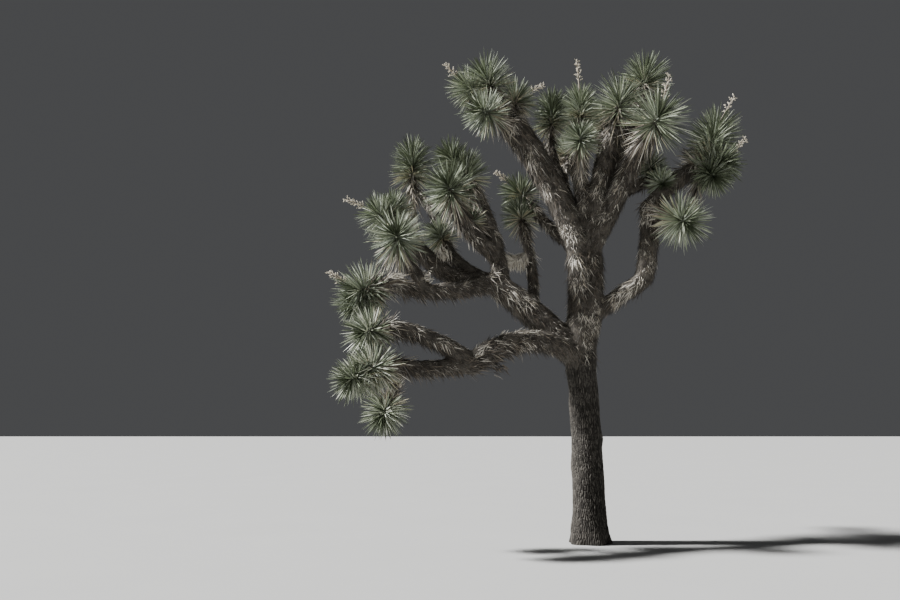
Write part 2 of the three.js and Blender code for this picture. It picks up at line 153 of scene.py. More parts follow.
# Heads: name, limb, share, leaf length, the stem's leafy length, seed, each rosette's middle
HEADS = [
    ("far_left", "left_sagging", 1, 0.325, 0.15, 11, seen(358, 291, -0.6), seen(354, 306, -0.52)),
    ("left_front", "left_front", 1, 0.335, 0.11, 12, seen(396, 235, -0.69)),
    ("left_outer", "left_middle", 1, 0.3, 0.13, 13, seen(378, 213, -0.05), seen(393, 206, 0.08)),
    ("left_inner", "left_inner", 1, 0.24, 0.12, 14, seen(438, 231, 0.3)),
    ("left_tall", "left_thin", 1, 0.29, 0.33, 15, seen(412, 153, 0.56)),
    ("left_raised", "left_raised", 1, 0.335, 0.13, 16, seen(448, 185, -0.38)),
    ("left_upright", "left_upright", 1, 0.31, 0.15, 17, seen(464, 169, 0.2), seen(450, 155, 0.23)),
    ("left_shaded", "left_upright", 0.55, 0.2, 0.08, 18, seen(467, 219, -0.1)),
    ("gap_upper", "gap_slant", 1, 0.28, 0.13, 19, seen(518, 191, 0.65)),
    ("gap_lower", "gap_upright", 1, 0.27, 0.11, 20, seen(520, 213, 0.5)),
    ("top_left_front", "upper_left", 0.97, 0.29, 0.12, 21, seen(482, 110, -0.39)),
    ("top_left", "upper_left", 1, 0.33, 0.17, 22, seen(485, 76, -0.06), seen(466, 86, 0.07)),
    ("top_left_inner", "upper_left", 0.98, 0.28, 0.12, 23, seen(515, 98, 0.25)),
    ("centre_left", "centre_left", 1, 0.255, 0.33, 24, seen(552, 102, 0.5)),
    ("centre_top", "centre_mid", 1, 0.25, 0.3, 25, seen(580, 98, 0.2)),
    ("centre_front", "centre_mid", 0.5, 0.25, 0.11, 26, seen(580, 136, -0.36)),
    ("top_right_left", "centre_right", 1, 0.375, 0.17, 27, seen(621, 98, -0.15)),
    ("top_right", "centre_back", 1, 0.355, 0.17, 28, seen(646, 76, 0.35)),
    ("right_front", "right_inner", 1, 0.4, 0.13, 29, seen(659, 116, -0.61)),
    ("right_inner", "right_back", 1, 0.235, 0.12, 30, seen(649, 164, 0.02), seen(663, 184, -0.15)),
    ("right_outer", "right_outer", 1, 0.34, 0.38, 31, seen(717, 127, 0.08)),
    ("right_droop", "right_outer", 0.97, 0.315, 0.2, 32, seen(724, 162, -0.16), seen(714, 177, -0.19)),
    ("right_low", "right_upright", 0.98, 0.33, 0.11, 33, seen(685, 222, -0.53)),
    ("low_upper", "low_upper", 1, 0.275, 0.11, 34, seen(365, 332, -0.95)),
    ("low_middle", "low_middle", 1, 0.295, 0.14, 35, seen(367, 369, -1.11), seen(350, 380, -1.17)),
    ("low_hanging", "low_hanging", 1, 0.265, 0.11, 36, seen(383, 416, -0.65)),
    ("back_right", "back_right", 1, 0.325, 0.16, 37, (0.57, 1.19, 5.13)),
    ("back_middle", "back_middle", 1, 0.29, 0.15, 38, (0.03, 1.04, 4.68)),
    ("back_left", "back_left", 1, 0.27, 0.13, 39, (-1.5, 1.14, 4.1)),
]

# %% [markdown]
# ## Curves
#
# A limb could be a Blender curve with a bevel, but the leaves have to be rooted on it, so it is
# kept as a small formula: a bend through three points that gives a place, a heading and a radius
# for many shares of its length at once.

# %% Curves
NO_LENGTH = 1e-9
NO_BEND = 1e-6
LENGTH_PLACES = 33
FEWEST_PLACES = 4
BACK = np.array((0.0, 1.0, 0.0))


def mix(first, second, share):
    return first + (second - first) * share


def unit(vectors):
    return vectors / np.maximum(np.linalg.norm(vectors, axis=-1, keepdims=True), NO_LENGTH)


def eased(value, low, high):
    """0 below low, 1 above high, and a soft step between."""
    share = np.clip((value - low) / (high - low), 0, 1)
    return share * share * (3 - 2 * share)


class Limb:
    """A tapering limb along one smooth bend. A share is 0 at its foot and 1 at its tip."""

    def __init__(self, foot, tip, middle, foot_radius, tip_radius):
        self.foot = np.array(foot, float)
        self.tip = np.array(tip, float)
        self.bend = 2 * np.array(middle, float) - (self.foot + self.tip) / 2
        self.foot_radius = foot_radius
        self.tip_radius = tip_radius
        square = np.cross(self.bend - self.foot, self.tip - self.foot)
        self.hint = square if np.linalg.norm(square) > NO_BEND else BACK
        places = self.point(np.linspace(0, 1, LENGTH_PLACES))
        self.length = float(np.linalg.norm(np.diff(places, axis=0), axis=1).sum())

    def point(self, share):
        share = np.asarray(share, float)[..., None]
        rest = 1 - share
        return rest**2 * self.foot + 2 * share * rest * self.bend + share**2 * self.tip

    def heading(self, share):
        share = np.asarray(share, float)[..., None]
        return unit((1 - share) * (self.bend - self.foot) + share * (self.tip - self.bend))

    def radius(self, share):
        return mix(self.foot_radius, self.tip_radius, np.asarray(share, float))

    def outward(self, share, turn):
        """The way off the limb's middle line at each share and turn round it."""
        line = self.heading(share)
        across = unit(np.cross(self.hint, line))
        over = np.cross(line, across)
        return across * np.cos(turn)[..., None] + over * np.sin(turn)[..., None]

    def nearness(self, points, step):
        """Shares a step apart along the limb, and how far each point is from each, in radii."""
        shares = np.linspace(0, 1, FEWEST_PLACES + round(self.length / step))
        reach = np.linalg.norm(points[:, None] - self.point(shares)[None], axis=2)
        return shares, reach / self.radius(shares)


class Trunk(Limb):
    """The trunk's radius follows its own profile."""

    def radius(self, share):
        shares, sizes = zip(*TRUNK_PROFILE)
        return BASE_RADIUS * np.interp(share, shares, sizes)


trunk_tip = (TRUNK_LEAN, 0, TRUNK_HEIGHT)
trunk_middle = (TRUNK_LEAN / 2 + TRUNK_BOW, 0, TRUNK_HEIGHT / 2)
limbs = {"trunk": Trunk((0, 0, 0), trunk_tip, trunk_middle, BASE_RADIUS, BASE_RADIUS)}
for name, parent, share, *bend_and_radii in LIMBS:
    limbs[name] = Limb(limbs[parent].point(share), *bend_and_radii)
print(len(limbs), "limbs,", round(sum(limb.length for limb in limbs.values()), 1), "m in all")

# %% [markdown]
# ## Rosettes
#
# A head is one rosette of leaves, or two on a fork. Each stands on a short stem from its limb.
# The stems are thatched like the limbs, up to where the live leaves begin.

# %% Rosettes
# Radius of a stem at its foot and its end, as shares of the leaves' length
STEM_SHARE = 0.17
STEM_TIP_SHARE = 0.12
# How far below the rosette's middle the stem ends, as a share of its leafy length
STEM_END_BELOW = 0.2
PAIR_LENGTH = 0.85
SEEDS_PER_HEAD = 10


class Rosette:
    """One round head of leaves: its middle, the way it faces and its sizes."""

    def __init__(self, head, limb, share, leaf_length, leafy_length, seed, middle, second):
        self.head = head
        self.middle = np.array(middle, float)
        foot = limb.point(share)
        self.axis = unit(self.middle - foot)
        self.leaf_length = leaf_length * (PAIR_LENGTH if second else 1)
        self.leafy_length = leafy_length
        self.seed = seed * SEEDS_PER_HEAD + second
        end = self.middle - self.axis * leafy_length * STEM_END_BELOW
        radii = (leaf_length * STEM_SHARE, leaf_length * STEM_TIP_SHARE)
        self.stem = Limb(foot, end, (foot + end) / 2, *radii)


rosettes = []
for head, limb, share, leaf_length, leafy_length, seed, *middles in HEADS:
    sizes = (share, leaf_length, leafy_length, seed)
    for second, middle in enumerate(middles):
        rosettes.append(Rosette(head, limbs[limb], *sizes, middle, second))
print(len(HEADS), "heads with", len(rosettes), "rosettes")

# %% [markdown]
# ## Noise
#
# Bark and thatch are uneven at every size. Blender's own noise textures can't be read from
# Python in bulk, so small functions give the same kind of noise for whole arrays of points.

# %% Noise
WORD = np.uint64(0xFFFFFFFF)
MIXERS = (np.uint64(374761393), np.uint64(668265263), np.uint64(2246822519))
SHIFTS = (np.uint64(15), np.uint64(13))
SEED_STEP = 7919
SEED_START = 17


def scatter(seed, *whole):
    """A steady number from 0 to 1 for each set of whole numbers."""
    mixed = np.full(whole[0].shape, seed * SEED_STEP + SEED_START, np.uint64)
    for value, mixer in zip(whole, MIXERS):
        mixed = ((mixed ^ (value.astype(np.int64).astype(np.uint64) & WORD)) * mixer) & WORD
        mixed = mixed ^ (mixed >> SHIFTS[0])
    mixed = (mixed * MIXERS[-1]) & WORD
    mixed = mixed ^ (mixed >> SHIFTS[1])
    return mixed.astype(float) / float(WORD)


def clouds(points, strength, size, seed):
    """Soft lumps up to a strength in or out, each about one size across."""
    sunlit_spots = points / size
    cells = np.floor(sunlit_spots).astype(np.int64)
    parts = sunlit_spots - cells
    parts = parts * parts * (3 - 2 * parts)
    total = np.zeros(len(points))
    for corner in itertools.product((0, 1), repeat=3):
        weight = np.prod(np.where(np.array(corner) == 1, parts, 1 - parts), axis=1)
        total += weight * scatter(seed, *(cells + np.array(corner)).T)
    return strength * (total * 2 - 1)


# %% [markdown]
# ## Meshes from arrays
#
# The tree has tens of thousands of leaves, live and dead. Objects or particles for each would be
# slow and are lost on export, so all leaves of one kind are worked out at once as arrays and go
# into one joined mesh. Each face names one of the mesh's finishes.

# %% Meshes from arrays
def make_object(name, points, faces, finishes, finish_of_face=None, rounded=False):
    mesh = bpy.data.meshes.new(name)
    mesh.from_pydata(points.tolist(), [], faces)
    for finish in finishes:
        mesh.materials.append(finish)
    if finish_of_face is not None:
        mesh.polygons.foreach_set("material_index", np.asarray(finish_of_face, np.int32))
    if rounded:
        mesh.polygons.foreach_set("use_smooth", np.ones(len(faces), bool))
    mesh.update()
    return add_object(name, mesh)


def triangles(piece):
    return sum(len(face.vertices) - 2 for face in piece.data.polygons)


def skin_faces(rings, sides):
    """Faces of a closed tube: a fan to a foot point, bands between rings, a fan to a tip point."""
    foot = rings * sides
    tip = foot + 1
    last = foot - sides
    faces = []
    for side in range(sides):
        after = (side + 1) % sides
        faces.append((foot, after, side))
        for low in range(0, last, sides):
            high = low + sides
            faces.append((low + side, low + after, high + after, high + side))
        faces.append((last + side, last + after, tip))
    return faces


class Bundle:
    """Collects many closed shapes, set by set, for one joined mesh."""

    def __init__(self):
        self.points = []
        self.faces = []
        self.finish_of_face = []
        self.count = 0

    def add(self, points, pattern, finish):
        """A set of shapes alike: points by shape, the faces of one, and each shape's finish."""
        shapes, corners, _ = points.shape
        starts = self.count + np.arange(shapes) * corners
        for face in pattern:
            self.faces.extend((starts[:, None] + np.array(face)).tolist())
            self.finish_of_face.append(finish)
        self.points.append(points.reshape(-1, 3))
        self.count += shapes * corners

    def make(self, name, finishes):
        points = np.concatenate(self.points)
        return make_object(name, points, self.faces, finishes, np.concatenate(self.finish_of_face))


# %% [markdown]
# ## Finishes
#
# Each finish is a Principled material with its pattern made from nodes. Written out node by node
# that is long and hard to read, so a Signal stands for one output socket, and sums and products
# of signals add the Math nodes. Any other node comes from Finish.node.

# %% Node helpers
MIX_FACTOR, MIX_FIRST, MIX_SECOND, MIX_RESULT = 0, 6, 7, 2
NOISE_ROUGHNESS = 0.6
EVEN = (1, 1, 1)


class Signal:
    """One output of a node. Sums and products of it add Math nodes."""

    def __init__(self, finish, socket):
        self.finish = finish
        self.socket = socket

    def _math(self, operation, first, second):
        return self.finish.node("ShaderNodeMath", {"operation": operation}, {0: first, 1: second})

    def __add__(self, other):
        return self._math("ADD", self, other)

    def __radd__(self, other):
        return self._math("ADD", other, self)

    def __mul__(self, other):
        return self._math("MULTIPLY", self, other)

    def __rmul__(self, other):
        return self._math("MULTIPLY", other, self)


class Finish:
    """A material built round one Principled shader."""

    def __init__(self, name, **constants):
        self.material = bpy.data.materials.new(name)
        self.material.use_nodes = True
        self.tree = self.material.node_tree
        self.shader = self.tree.nodes["Principled BSDF"]
        for label, value in constants.items():
            self.shader.inputs[label.replace("_", " ")].default_value = value

    def node(self, kind, settings=None, inputs=None, output=0):
        """Any node: its settings are set first, then its sockets get values or links."""
        made = self.tree.nodes.new(kind)
        for label, value in (settings or {}).items():
            setattr(made, label, value)
        for label, value in (inputs or {}).items():
            self.feed(made.inputs[label], value)
        return Signal(self, made.outputs[output])

    def feed(self, socket, value):
        if isinstance(value, Signal):
            self.tree.links.new(value.socket, socket)
        else:
            socket.default_value = value

    def place(self, stretch=EVEN):
        """Where a point lies on the tree in metres, stretched for long patterns."""
        spot = self.node("ShaderNodeTexCoord", output="Object")
        return self.node("ShaderNodeMapping", inputs={"Vector": spot, "Scale": stretch})

    def noise(self, scale, detail, stretch=EVEN):
        """Noise from 0 to 1: its lumps to the metre, its levels of detail and its stretch."""
        sockets = {"Vector": self.place(stretch), "Scale": scale, "Detail": detail}
        return self.node("ShaderNodeTexNoise", inputs={**sockets, "Roughness": NOISE_ROUGHNESS})

    def step(self, value, low, high):
        """0 below low and 1 above high, soft between."""
        sockets = {"Value": value, "From Min": low, "From Max": high}
        return self.node("ShaderNodeMapRange", {"interpolation_type": "SMOOTHSTEP"}, sockets)

    def blend(self, share, first, second):
        sockets = {MIX_FACTOR: share, MIX_FIRST: first, MIX_SECOND: second}
        return self.node("ShaderNodeMix", {"data_type": "RGBA"}, sockets, MIX_RESULT)

    def attribute(self, label):
        return self.node("ShaderNodeAttribute", {"attribute_name": label}, output="Fac")

    def paint(self, colour, roughness, relief, depth):
        """Links what changes over the surface: colour, roughness, and fine relief in metres."""
        self.feed(self.shader.inputs["Base Color"], colour)
        self.feed(self.shader.inputs["Roughness"], roughness)
        bump = self.node("ShaderNodeBump", inputs={"Height": relief, "Distance": depth})
        self.feed(self.shader.inputs["Normal"], bump)
        return self.material


def tint(red, green, blue):
    return (red, green, blue, 1)


# %% [markdown]
# ## Trunk bark
#
# Old joshua tree bark is a net of small corky plates, taller than wide, parted by dark furrows
# that wander up the trunk. A bump map would look flat at the outline, so the plates are real
# relief: the trunk is a fine tube, and each of its points is moved in by the depth of the nearest
# furrow. The same depth is kept on the mesh as an attribute, so that the furrows can be painted
# near black: partly the bark's own darker colour there, and partly painted shade.

# %% Plates
FAR = 99.0
MEAN_RADIUS = 0.175
PLATE_COLUMNS = 58
PLATE_WIDTH = 2 * math.pi * MEAN_RADIUS / PLATE_COLUMNS
PLATE_HEIGHT = 0.06
PLATE_SEED = 44
# Every second row of plates is shifted by half a plate
ROW_SHIFT = 0.5
# Where a plate's middle may lie in its cell, and the cells whose plates can be neighbours
PLATE_ACROSS = (-0.42, 0.42)
PLATE_UP = (0.12, 0.88)
NEAR_ROWS = (-1, 0, 1)
NEAR_COLUMNS = (-2, -1, 0, 1, 2)


def bark_plates(around, height):
    """For points counted in plates round the trunk and up it: distance to the nearest joint, how
    upright that joint is, the plate's own number from 0 to 1, and the height over its middle."""
    column = np.floor(around).astype(np.int64)
    row = np.floor(height).astype(np.int64)
    nearest = np.full(around.shape, FAR)
    second = nearest.copy()
    own = np.zeros((4,) + around.shape)
    other = np.zeros((2,) + around.shape)
    for up, along in itertools.product(NEAR_ROWS, NEAR_COLUMNS):
        cell_x = column + along
        cell_y = row + up
        wrapped = cell_x % PLATE_COLUMNS
        spot_x = cell_x + ROW_SHIFT * (cell_y % 2)
        spot_x = spot_x + mix(*PLATE_ACROSS, scatter(PLATE_SEED, wrapped, cell_y))
        spot_y = cell_y + mix(*PLATE_UP, scatter(PLATE_SEED + 1, wrapped, cell_y))
        reach = (spot_x - around) ** 2 + (spot_y - height) ** 2
        closer = reach < nearest
        middling = ~closer & (reach < second)
        other[:, middling] = np.stack((spot_x, spot_y))[:, middling]
        second[middling] = reach[middling]
        other[:, closer] = own[:2, closer]
        second[closer] = nearest[closer]
        plate = scatter(PLATE_SEED + 2, wrapped, cell_y)
        own[:, closer] = np.stack((spot_x, spot_y, plate, height - spot_y))[:, closer]
        nearest[closer] = reach[closer]
    slope_x = np.abs(other[0] - own[0]) / PLATE_WIDTH
    slope_y = np.abs(other[1] - own[1]) / PLATE_HEIGHT
    slope = np.hypot(slope_x, slope_y)
    gap = (second - nearest) / (2 * slope)
    return gap, slope_x / slope, own[2], own[3]


# %% Trunk mesh
BARK_TOP = 2.02
BARK_STEP = 0.0052
BARK_SIDES = 208
BARK_FADE = 0.10
FURROW_FLOOR = 0.001
FURROW_WIDTH = 0.007
FURROW_WIDTH_SPREAD = (0.6, 1.25)
FURROW_DEPTH = 0.007
CRACK_SHARE = 0.3
PLATE_SPREAD = 0.002
PLATE_TILT = 0.02
# Noise is read off a round post of this radius. Each layer has a strength, a size and a seed
NOISE_RADIUS = 0.18
WANDER = (1.1, 0.11, 41)
FINE_WANDER = (0.25, 0.04, 42)
ROW_WANDER = (0.4, 0.15, 43)
BARK_GRAIN = (0.0015, 0.012, 45)
TRUNK_LUMPS = (0.010, 0.16, 46)
LUMPS_FULL_FROM = 0.1
# A knuckle on the side that faces right
KNUCKLE_HEIGHT = 1.07
KNUCKLE_SIZE = 0.016
KNUCKLE_REACH = 0.055
KNUCKLE_TURN = 0.3
KNUCKLE_FOCUS = 3


def trunk_mesh():
    heights = np.arange(0, BARK_TOP, BARK_STEP)
    turns = np.arange(BARK_SIDES) * 2 * np.pi / BARK_SIDES
    height, turn = (grid.ravel() for grid in np.meshgrid(heights, turns, indexing="ij"))
    share = height / TRUNK_HEIGHT
    way = np.stack((np.cos(turn), np.sin(turn), np.zeros(len(turn))), axis=1)
    flare = FLARE_DEPTH * np.maximum(0, 1 - height / FLARE_HEIGHT) ** 2
    radius = limbs["trunk"].radius(share) * (1 + flare * (FLARE_MEAN + np.cos(FLARE_LOBES * turn)))
    rough_place = way * NOISE_RADIUS + np.array((0, 0, 1.0)) * height[:, None]

    wander = clouds(rough_place, *WANDER) + clouds(rough_place, *FINE_WANDER)
    around = turn / (2 * np.pi) * PLATE_COLUMNS + wander
    rows = height / PLATE_HEIGHT + clouds(rough_place, *ROW_WANDER)
    gap, upright, plate, offset = bark_plates(around, rows)
    width = FURROW_WIDTH * mix(*FURROW_WIDTH_SPREAD, plate)
    furrow = (1 - eased(gap, FURROW_FLOOR, width)) * mix(CRACK_SHARE, 1, upright)

    relief = (1 - furrow) * PLATE_SPREAD * (plate - 0.5) - furrow * FURROW_DEPTH
    relief -= (1 - furrow) * offset * PLATE_HEIGHT * PLATE_TILT
    relief += clouds(rough_place, *BARK_GRAIN)
    relief *= 1 - eased(height, BARK_TOP - BARK_FADE, BARK_TOP)
    relief += clouds(rough_place, *TRUNK_LUMPS) * eased(height, 0, LUMPS_FULL_FROM)
    facing = np.maximum(0, np.cos(turn - KNUCKLE_TURN)) ** KNUCKLE_FOCUS
    relief += KNUCKLE_SIZE * facing * np.exp(-(((height - KNUCKLE_HEIGHT) / KNUCKLE_REACH) ** 2))

    points = limbs["trunk"].point(share) + way * (radius + relief)[:, None]
    points[:, 2] = height
    points = np.vstack((points, limbs["trunk"].foot, limbs["trunk"].point(BARK_TOP / TRUNK_HEIGHT)))
    piece = make_object("bark_trunk", points, skin_faces(len(heights), BARK_SIDES), [], rounded=True)
    for label, values in (("furrow", furrow), ("plate", plate)):
        field = piece.data.attributes.new(label, "FLOAT", "POINT")
        field.data.foreach_set("value", np.append(values, (0, 0)).astype(np.float32))
    return piece


bark_trunk = trunk_mesh()
print("trunk bark:", triangles(bark_trunk), "triangles")

# %% [markdown]
# The colour follows the relief: weathered grey plates, each a little different, near black in the
# furrows, partly the bark's own colour and partly painted shade, with paler bleached patches
# where sun and wind reach.

# %% Trunk finish
BARK_SHADED = tint(0.022, 0.02, 0.017)
BARK_WEATHERED = tint(0.098, 0.09, 0.078)
BARK_BLEACHED = tint(0.19, 0.175, 0.155)
# Near black in the furrows: partly the bark's own colour and partly painted shade in the recesses
BARK_FURROW_SHADE = tint(0.012, 0.01, 0.009)
# Noises: lumps to the metre, levels of detail, stretch
BARK_MOTTLE = (14, 5)
BARK_GRIT = (260, 4, (1, 1, 0.35))
BARK_STREAK = (58, 4, (1, 1, 0.2))
BLEACHED_PATCHES = (3.2, 3)
# Where each soft step begins and ends
WEATHERED_STEP = (0.72, 1.12)
BLEACHED_STEP = (0.52, 0.72)
FURROW_SHADE_STEP = (0.15, 1.0)
BARK_BUMP = 0.006


def trunk_finish():
    bark = Finish("corky_bark", Specular_IOR_Level=0.2)
    mottle = bark.noise(*BARK_MOTTLE)
    grit = bark.noise(*BARK_GRIT)
    plate = bark.attribute("plate")
    furrow = bark.attribute("furrow")
    streak = bark.noise(*BARK_STREAK)
    share = bark.step(0.3 * plate + 0.45 * mottle + 1.1 * streak, *WEATHERED_STEP)
    face = bark.blend(share, BARK_SHADED, BARK_WEATHERED)
    bleached = bark.step(bark.noise(*BLEACHED_PATCHES), *BLEACHED_STEP)
    face = bark.blend(0.2 * bleached, face, BARK_BLEACHED)
    # The furrows are painted near black, partly as painted shade
    colour = bark.blend(bark.step(furrow, *FURROW_SHADE_STEP), face, BARK_FURROW_SHADE)
    return bark.paint(colour, 0.78 + 0.2 * grit, 0.6 * streak + 0.4 * grit, BARK_BUMP)


bark_trunk.data.materials.append(trunk_finish())
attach(bark_trunk, "root")
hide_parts("trunk")

# %% [markdown]
# ## Bough wood
#
# Limbs of a real tree swell into each other where they fork. Tubes pushed into each other keep a
# hard seam there, so all tubes are remeshed into one skin of small even cells, which is then
# smoothed, and last made uneven with the same noise. The wood is thinner than the solids, because
# the thatch that hides it takes up the rest.

# %% Tubes and skins
WOOD_SIDES = 20
WOOD_STEP = 0.06
# The rounded end of a tube: how far out and how wide its last rings are, in radii
SHOULDERS = ((0.4, 0.72), (0.62, 0.2))


def tube(limb, wood_share, start=0.0, end=1.0):
    """Rings along a stretch of a limb and over its rounded end."""
    steps = max(FEWEST_PLACES, round(limb.length / WOOD_STEP))
    shares = np.linspace(start, end, steps + 1)
    turns = np.arange(WOOD_SIDES) * 2 * np.pi / WOOD_SIDES
    rings = []
    for share in shares:
        out = limb.outward(np.full(WOOD_SIDES, share), turns)
        rings.append(limb.point(share) + out * limb.radius(share) * wood_share)
    heading = limb.heading(end)
    last_radius = limb.radius(end) * wood_share
    out = limb.outward(np.full(WOOD_SIDES, end), turns)
    for reach, size in SHOULDERS:
        rings.append(limb.point(end) + heading * last_radius * reach + out * last_radius * size)
    tip = limb.point(end) + heading * last_radius * SHOULDERS[-1][0]
    points = np.vstack(rings + [limb.point(start)[None], tip[None]])
    return points, skin_faces(len(rings), WOOD_SIDES)


def one_skin(name, tubes, cell, smoothing=0):
    """One mesh over tubes that run into each other, of even cells, smoothed so many times."""
    bundle = Bundle()
    for points, faces in tubes:
        bundle.add(points[None], faces, np.zeros(1, int))
    rough = bundle.make("rough_tubes", [])
    remesh = rough.modifiers.new("one_skin", "REMESH")
    remesh.mode = "VOXEL"
    remesh.voxel_size = cell
    if smoothing:
        rough.modifiers.new("soft_forks", "SMOOTH").iterations = smoothing
    state = bpy.context.evaluated_depsgraph_get()
    mesh = bpy.data.meshes.new_from_object(rough.evaluated_get(state))
    bpy.data.objects.remove(rough)
    mesh.name = name
    return mesh


def mesh_points(mesh):
    points = np.empty(len(mesh.vertices) * 3, np.float32)
    mesh.vertices.foreach_get("co", points)
    return points.reshape(-1, 3).astype(float)


def roughen(mesh, layers):
    """Moves a mesh's points in or out along its own normals by layers of noise."""
    points = mesh_points(mesh)
    normals = np.empty(points.size, np.float32)
    mesh.vertex_normals.foreach_get("vector", normals)
    height = sum(clouds(points, *layer) for layer in layers)
    points += normals.reshape(-1, 3) * height[:, None]
    mesh.vertices.foreach_set("co", points.astype(np.float32).ravel())
    mesh.polygons.foreach_set("use_smooth", np.ones(len(mesh.polygons), bool))
    mesh.update()


# %% Bough mesh
WOOD_SHARE = 0.94
WOOD_CELL = 0.019
WOOD_SMOOTHING = 7
WOOD_LUMPS = ((0.008, 0.09, 51), (0.005, 0.035, 52))
# A stem's wood stops below its heart leaves
STEM_WOOD_END = 0.88
# The stretch of trunk inside the fork, a little thinner than the bark round it
STUB_START = 0.84
STUB_SHARE = 0.97
DEAD_LIMB = "dead_limb_curled"

boughs = [name for name in limbs if name not in ("trunk", DEAD_LIMB)]
tubes = [tube(limbs["trunk"], STUB_SHARE, STUB_START)]
tubes += [tube(limbs[name], WOOD_SHARE) for name in boughs]
tubes += [tube(rosette.stem, WOOD_SHARE, end=STEM_WOOD_END) for rosette in rosettes]
bough_skin = one_skin("bark_boughs", tubes, WOOD_CELL, WOOD_SMOOTHING)
roughen(bough_skin, WOOD_LUMPS)
bark_boughs = add_object("bark_boughs", bough_skin)
print("bough wood:", triangles(bark_boughs), "triangles")

# %% [markdown]
# Where the thatch is thin the wood shows through: dark and fibrous, without the trunk's plates.
# Its dark is partly the wood's own colour and partly painted shade under the thatch.

# %% Bough finish
# Both tones are dark: partly the wood's own colour and partly painted shade under the thatch
WOOD_DARK_SHADED = tint(0.028, 0.024, 0.02)
WOOD_PALE = tint(0.11, 0.1, 0.085)
WOOD_MOTTLE = (11, 5)
WOOD_FIBRE = (70, 4)
WOOD_PALE_STEP = (0.5, 0.95)
WOOD_BUMP = 0.004


def bough_finish():
    bark = Finish("bough_bark", Specular_IOR_Level=0.15)
    mottle = bark.noise(*WOOD_MOTTLE)
    fibre = bark.noise(*WOOD_FIBRE)
    colour = bark.blend(bark.step(mottle + 0.5 * fibre, *WOOD_PALE_STEP), WOOD_DARK_SHADED, WOOD_PALE)
    return bark.paint(colour, 0.8 + 0.18 * fibre, fibre, WOOD_BUMP)


bark_boughs.data.materials.append(bough_finish())
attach(bark_boughs, "root")
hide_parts(*("bough_" + name for name in boughs))

# %% [markdown]
# ## Blades
#
# Live leaves and dead ones are both stiff pointed blades, flat or hollow on top with a keel below.
# A closed blade of a few faces catches the light on two sides, which a flat strip can't do, and
# it has thickness when the mesh is used elsewhere. All blades of a set are made in one step.

# %% Blades
DOWN = np.array((0.0, 0.0, -1.0))
# Rings along a blade: share of its length, of its width and of its thickness
LIVE_RINGS = ((0, 0.8, 1), (0.35, 1, 1), (0.8, 0.7, 0.6))
DEAD_RINGS = ((0, 0.8, 1), (0.5, 1, 0.7))
# A short broken blade has no bend, so one ring and a point are enough
BROKEN_RINGS = ((0, 1, 1),)
# Corners of a blade's section: hollow top and keel when live, flat and three-cornered when dead
LIVE_SECTION = ((-1, 0.25), (0, -0.35), (1, 0.25), (0, -1))
DEAD_SECTION = ((-1, 0.5), (1, 0.3), (0.1, -1))


def blade_points(root, way, face, length, width, thick, sag, rings, section):
    """Points of many blades, by blade. face is the way that their upper side looks."""
    over = unit(face - way * np.sum(face * way, axis=1)[:, None])
    across = np.cross(way, over)
    rows = []
    for along, wide, high in (*rings, (1, 0, 0)):
        middle = root + way * (length * along)[:, None] + sag * (length * along**2)[:, None]
        corners = section if wide else section[:1]
        for sideways, upward in corners:
            side = across * (width / 2 * wide * sideways)[:, None]
            rows.append(middle + side + over * (thick / 2 * high * upward))
    return np.stack(rows, axis=1)


def blade_pattern(rings, corners):
    """The faces of one blade: a closed root, bands between the rings, and a fan to the point."""
    faces = [tuple(range(corners))]
    for low in range(0, (rings - 1) * corners, corners):
        for side in range(corners):
            after = (side + 1) % corners
            high = low + corners
            faces.append((low + after, low + side, high + side, high + after))
    last = (rings - 1) * corners
    for side in range(corners):
        faces.append((last + (side + 1) % corners, last + side, last + corners))
    return faces


def droop(random, count, spread, down):
    """How each blade bends over its length: a little at random and a little down."""
    return random.normal(0, spread, (count, 3)) + DOWN * down


LIVE_PATTERN = blade_pattern(len(LIVE_RINGS), len(LIVE_SECTION))
DEAD_PATTERN = blade_pattern(len(DEAD_RINGS), len(DEAD_SECTION))
BROKEN_PATTERN = blade_pattern(len(BROKEN_RINGS), len(DEAD_SECTION))
print("triangles in a live leaf:", sum(len(face) - 2 for face in LIVE_PATTERN))

# %% [markdown]
# ## Thatch
#
# Dead leaves stay on for years. The oldest are broken to a short mat that lies back along the
# limb. Nearer the heads they are still whole and long, and where a limb leans they hang below it
# as a fringe. Both kinds are rooted evenly over the skin of the wood, so that no fork stays bare.

# %% Places on the wood
LIMB_STEP = 0.06
# How fresh the thatch is at the foot and at the tip of a limb, and of a head's stem
LIMB_FRESHNESS = (0, 0.55)
STEM_FRESHNESS = (0.55, 1)


def skin_places(mesh, count, random):
    """Places spread evenly over a mesh by area, and the way its skin faces at each."""
    mesh.calc_loop_triangles()
    corners = np.empty(len(mesh.loop_triangles) * 3, np.int32)
    mesh.loop_triangles.foreach_get("vertices", corners)
    first, second, third = mesh_points(mesh)[corners.reshape(-1, 3)].swapaxes(0, 1)
    square = np.cross(second - first, third - first)
    area = np.linalg.norm(square, axis=1)
    picked = random.choice(len(area), count, p=area / area.sum())
    first, second, third, square = first[picked], second[picked], third[picked], square[picked]
    over, along = random.random((2, count))
    outside = over + along > 1
    over[outside], along[outside] = 1 - over[outside], 1 - along[outside]
    place = first + (second - first) * over[:, None] + (third - first) * along[:, None]
    return place, unit(square)


def limb_under(places):
    """For each place: the heading of the limb it lies on, and how fresh its thatch is, 0 to 1."""
    heading = np.zeros(places.shape)
    freshness = np.zeros(len(places))
    nearest = np.full(len(places), FAR)
    owners = [(limb, LIMB_FRESHNESS) for limb in limbs.values()]
    owners += [(rosette.stem, STEM_FRESHNESS) for rosette in rosettes]
    for limb, fresh in owners:
        shares, reach = limb.nearness(places, LIMB_STEP)
        best = reach.argmin(axis=1)
        size = reach[np.arange(len(places)), best]
        closer = size < nearest
        nearest[closer] = size[closer]
        heading[closer] = limb.heading(shares[best[closer]])
        freshness[closer] = mix(*fresh, shares[best[closer]])
    return heading, freshness
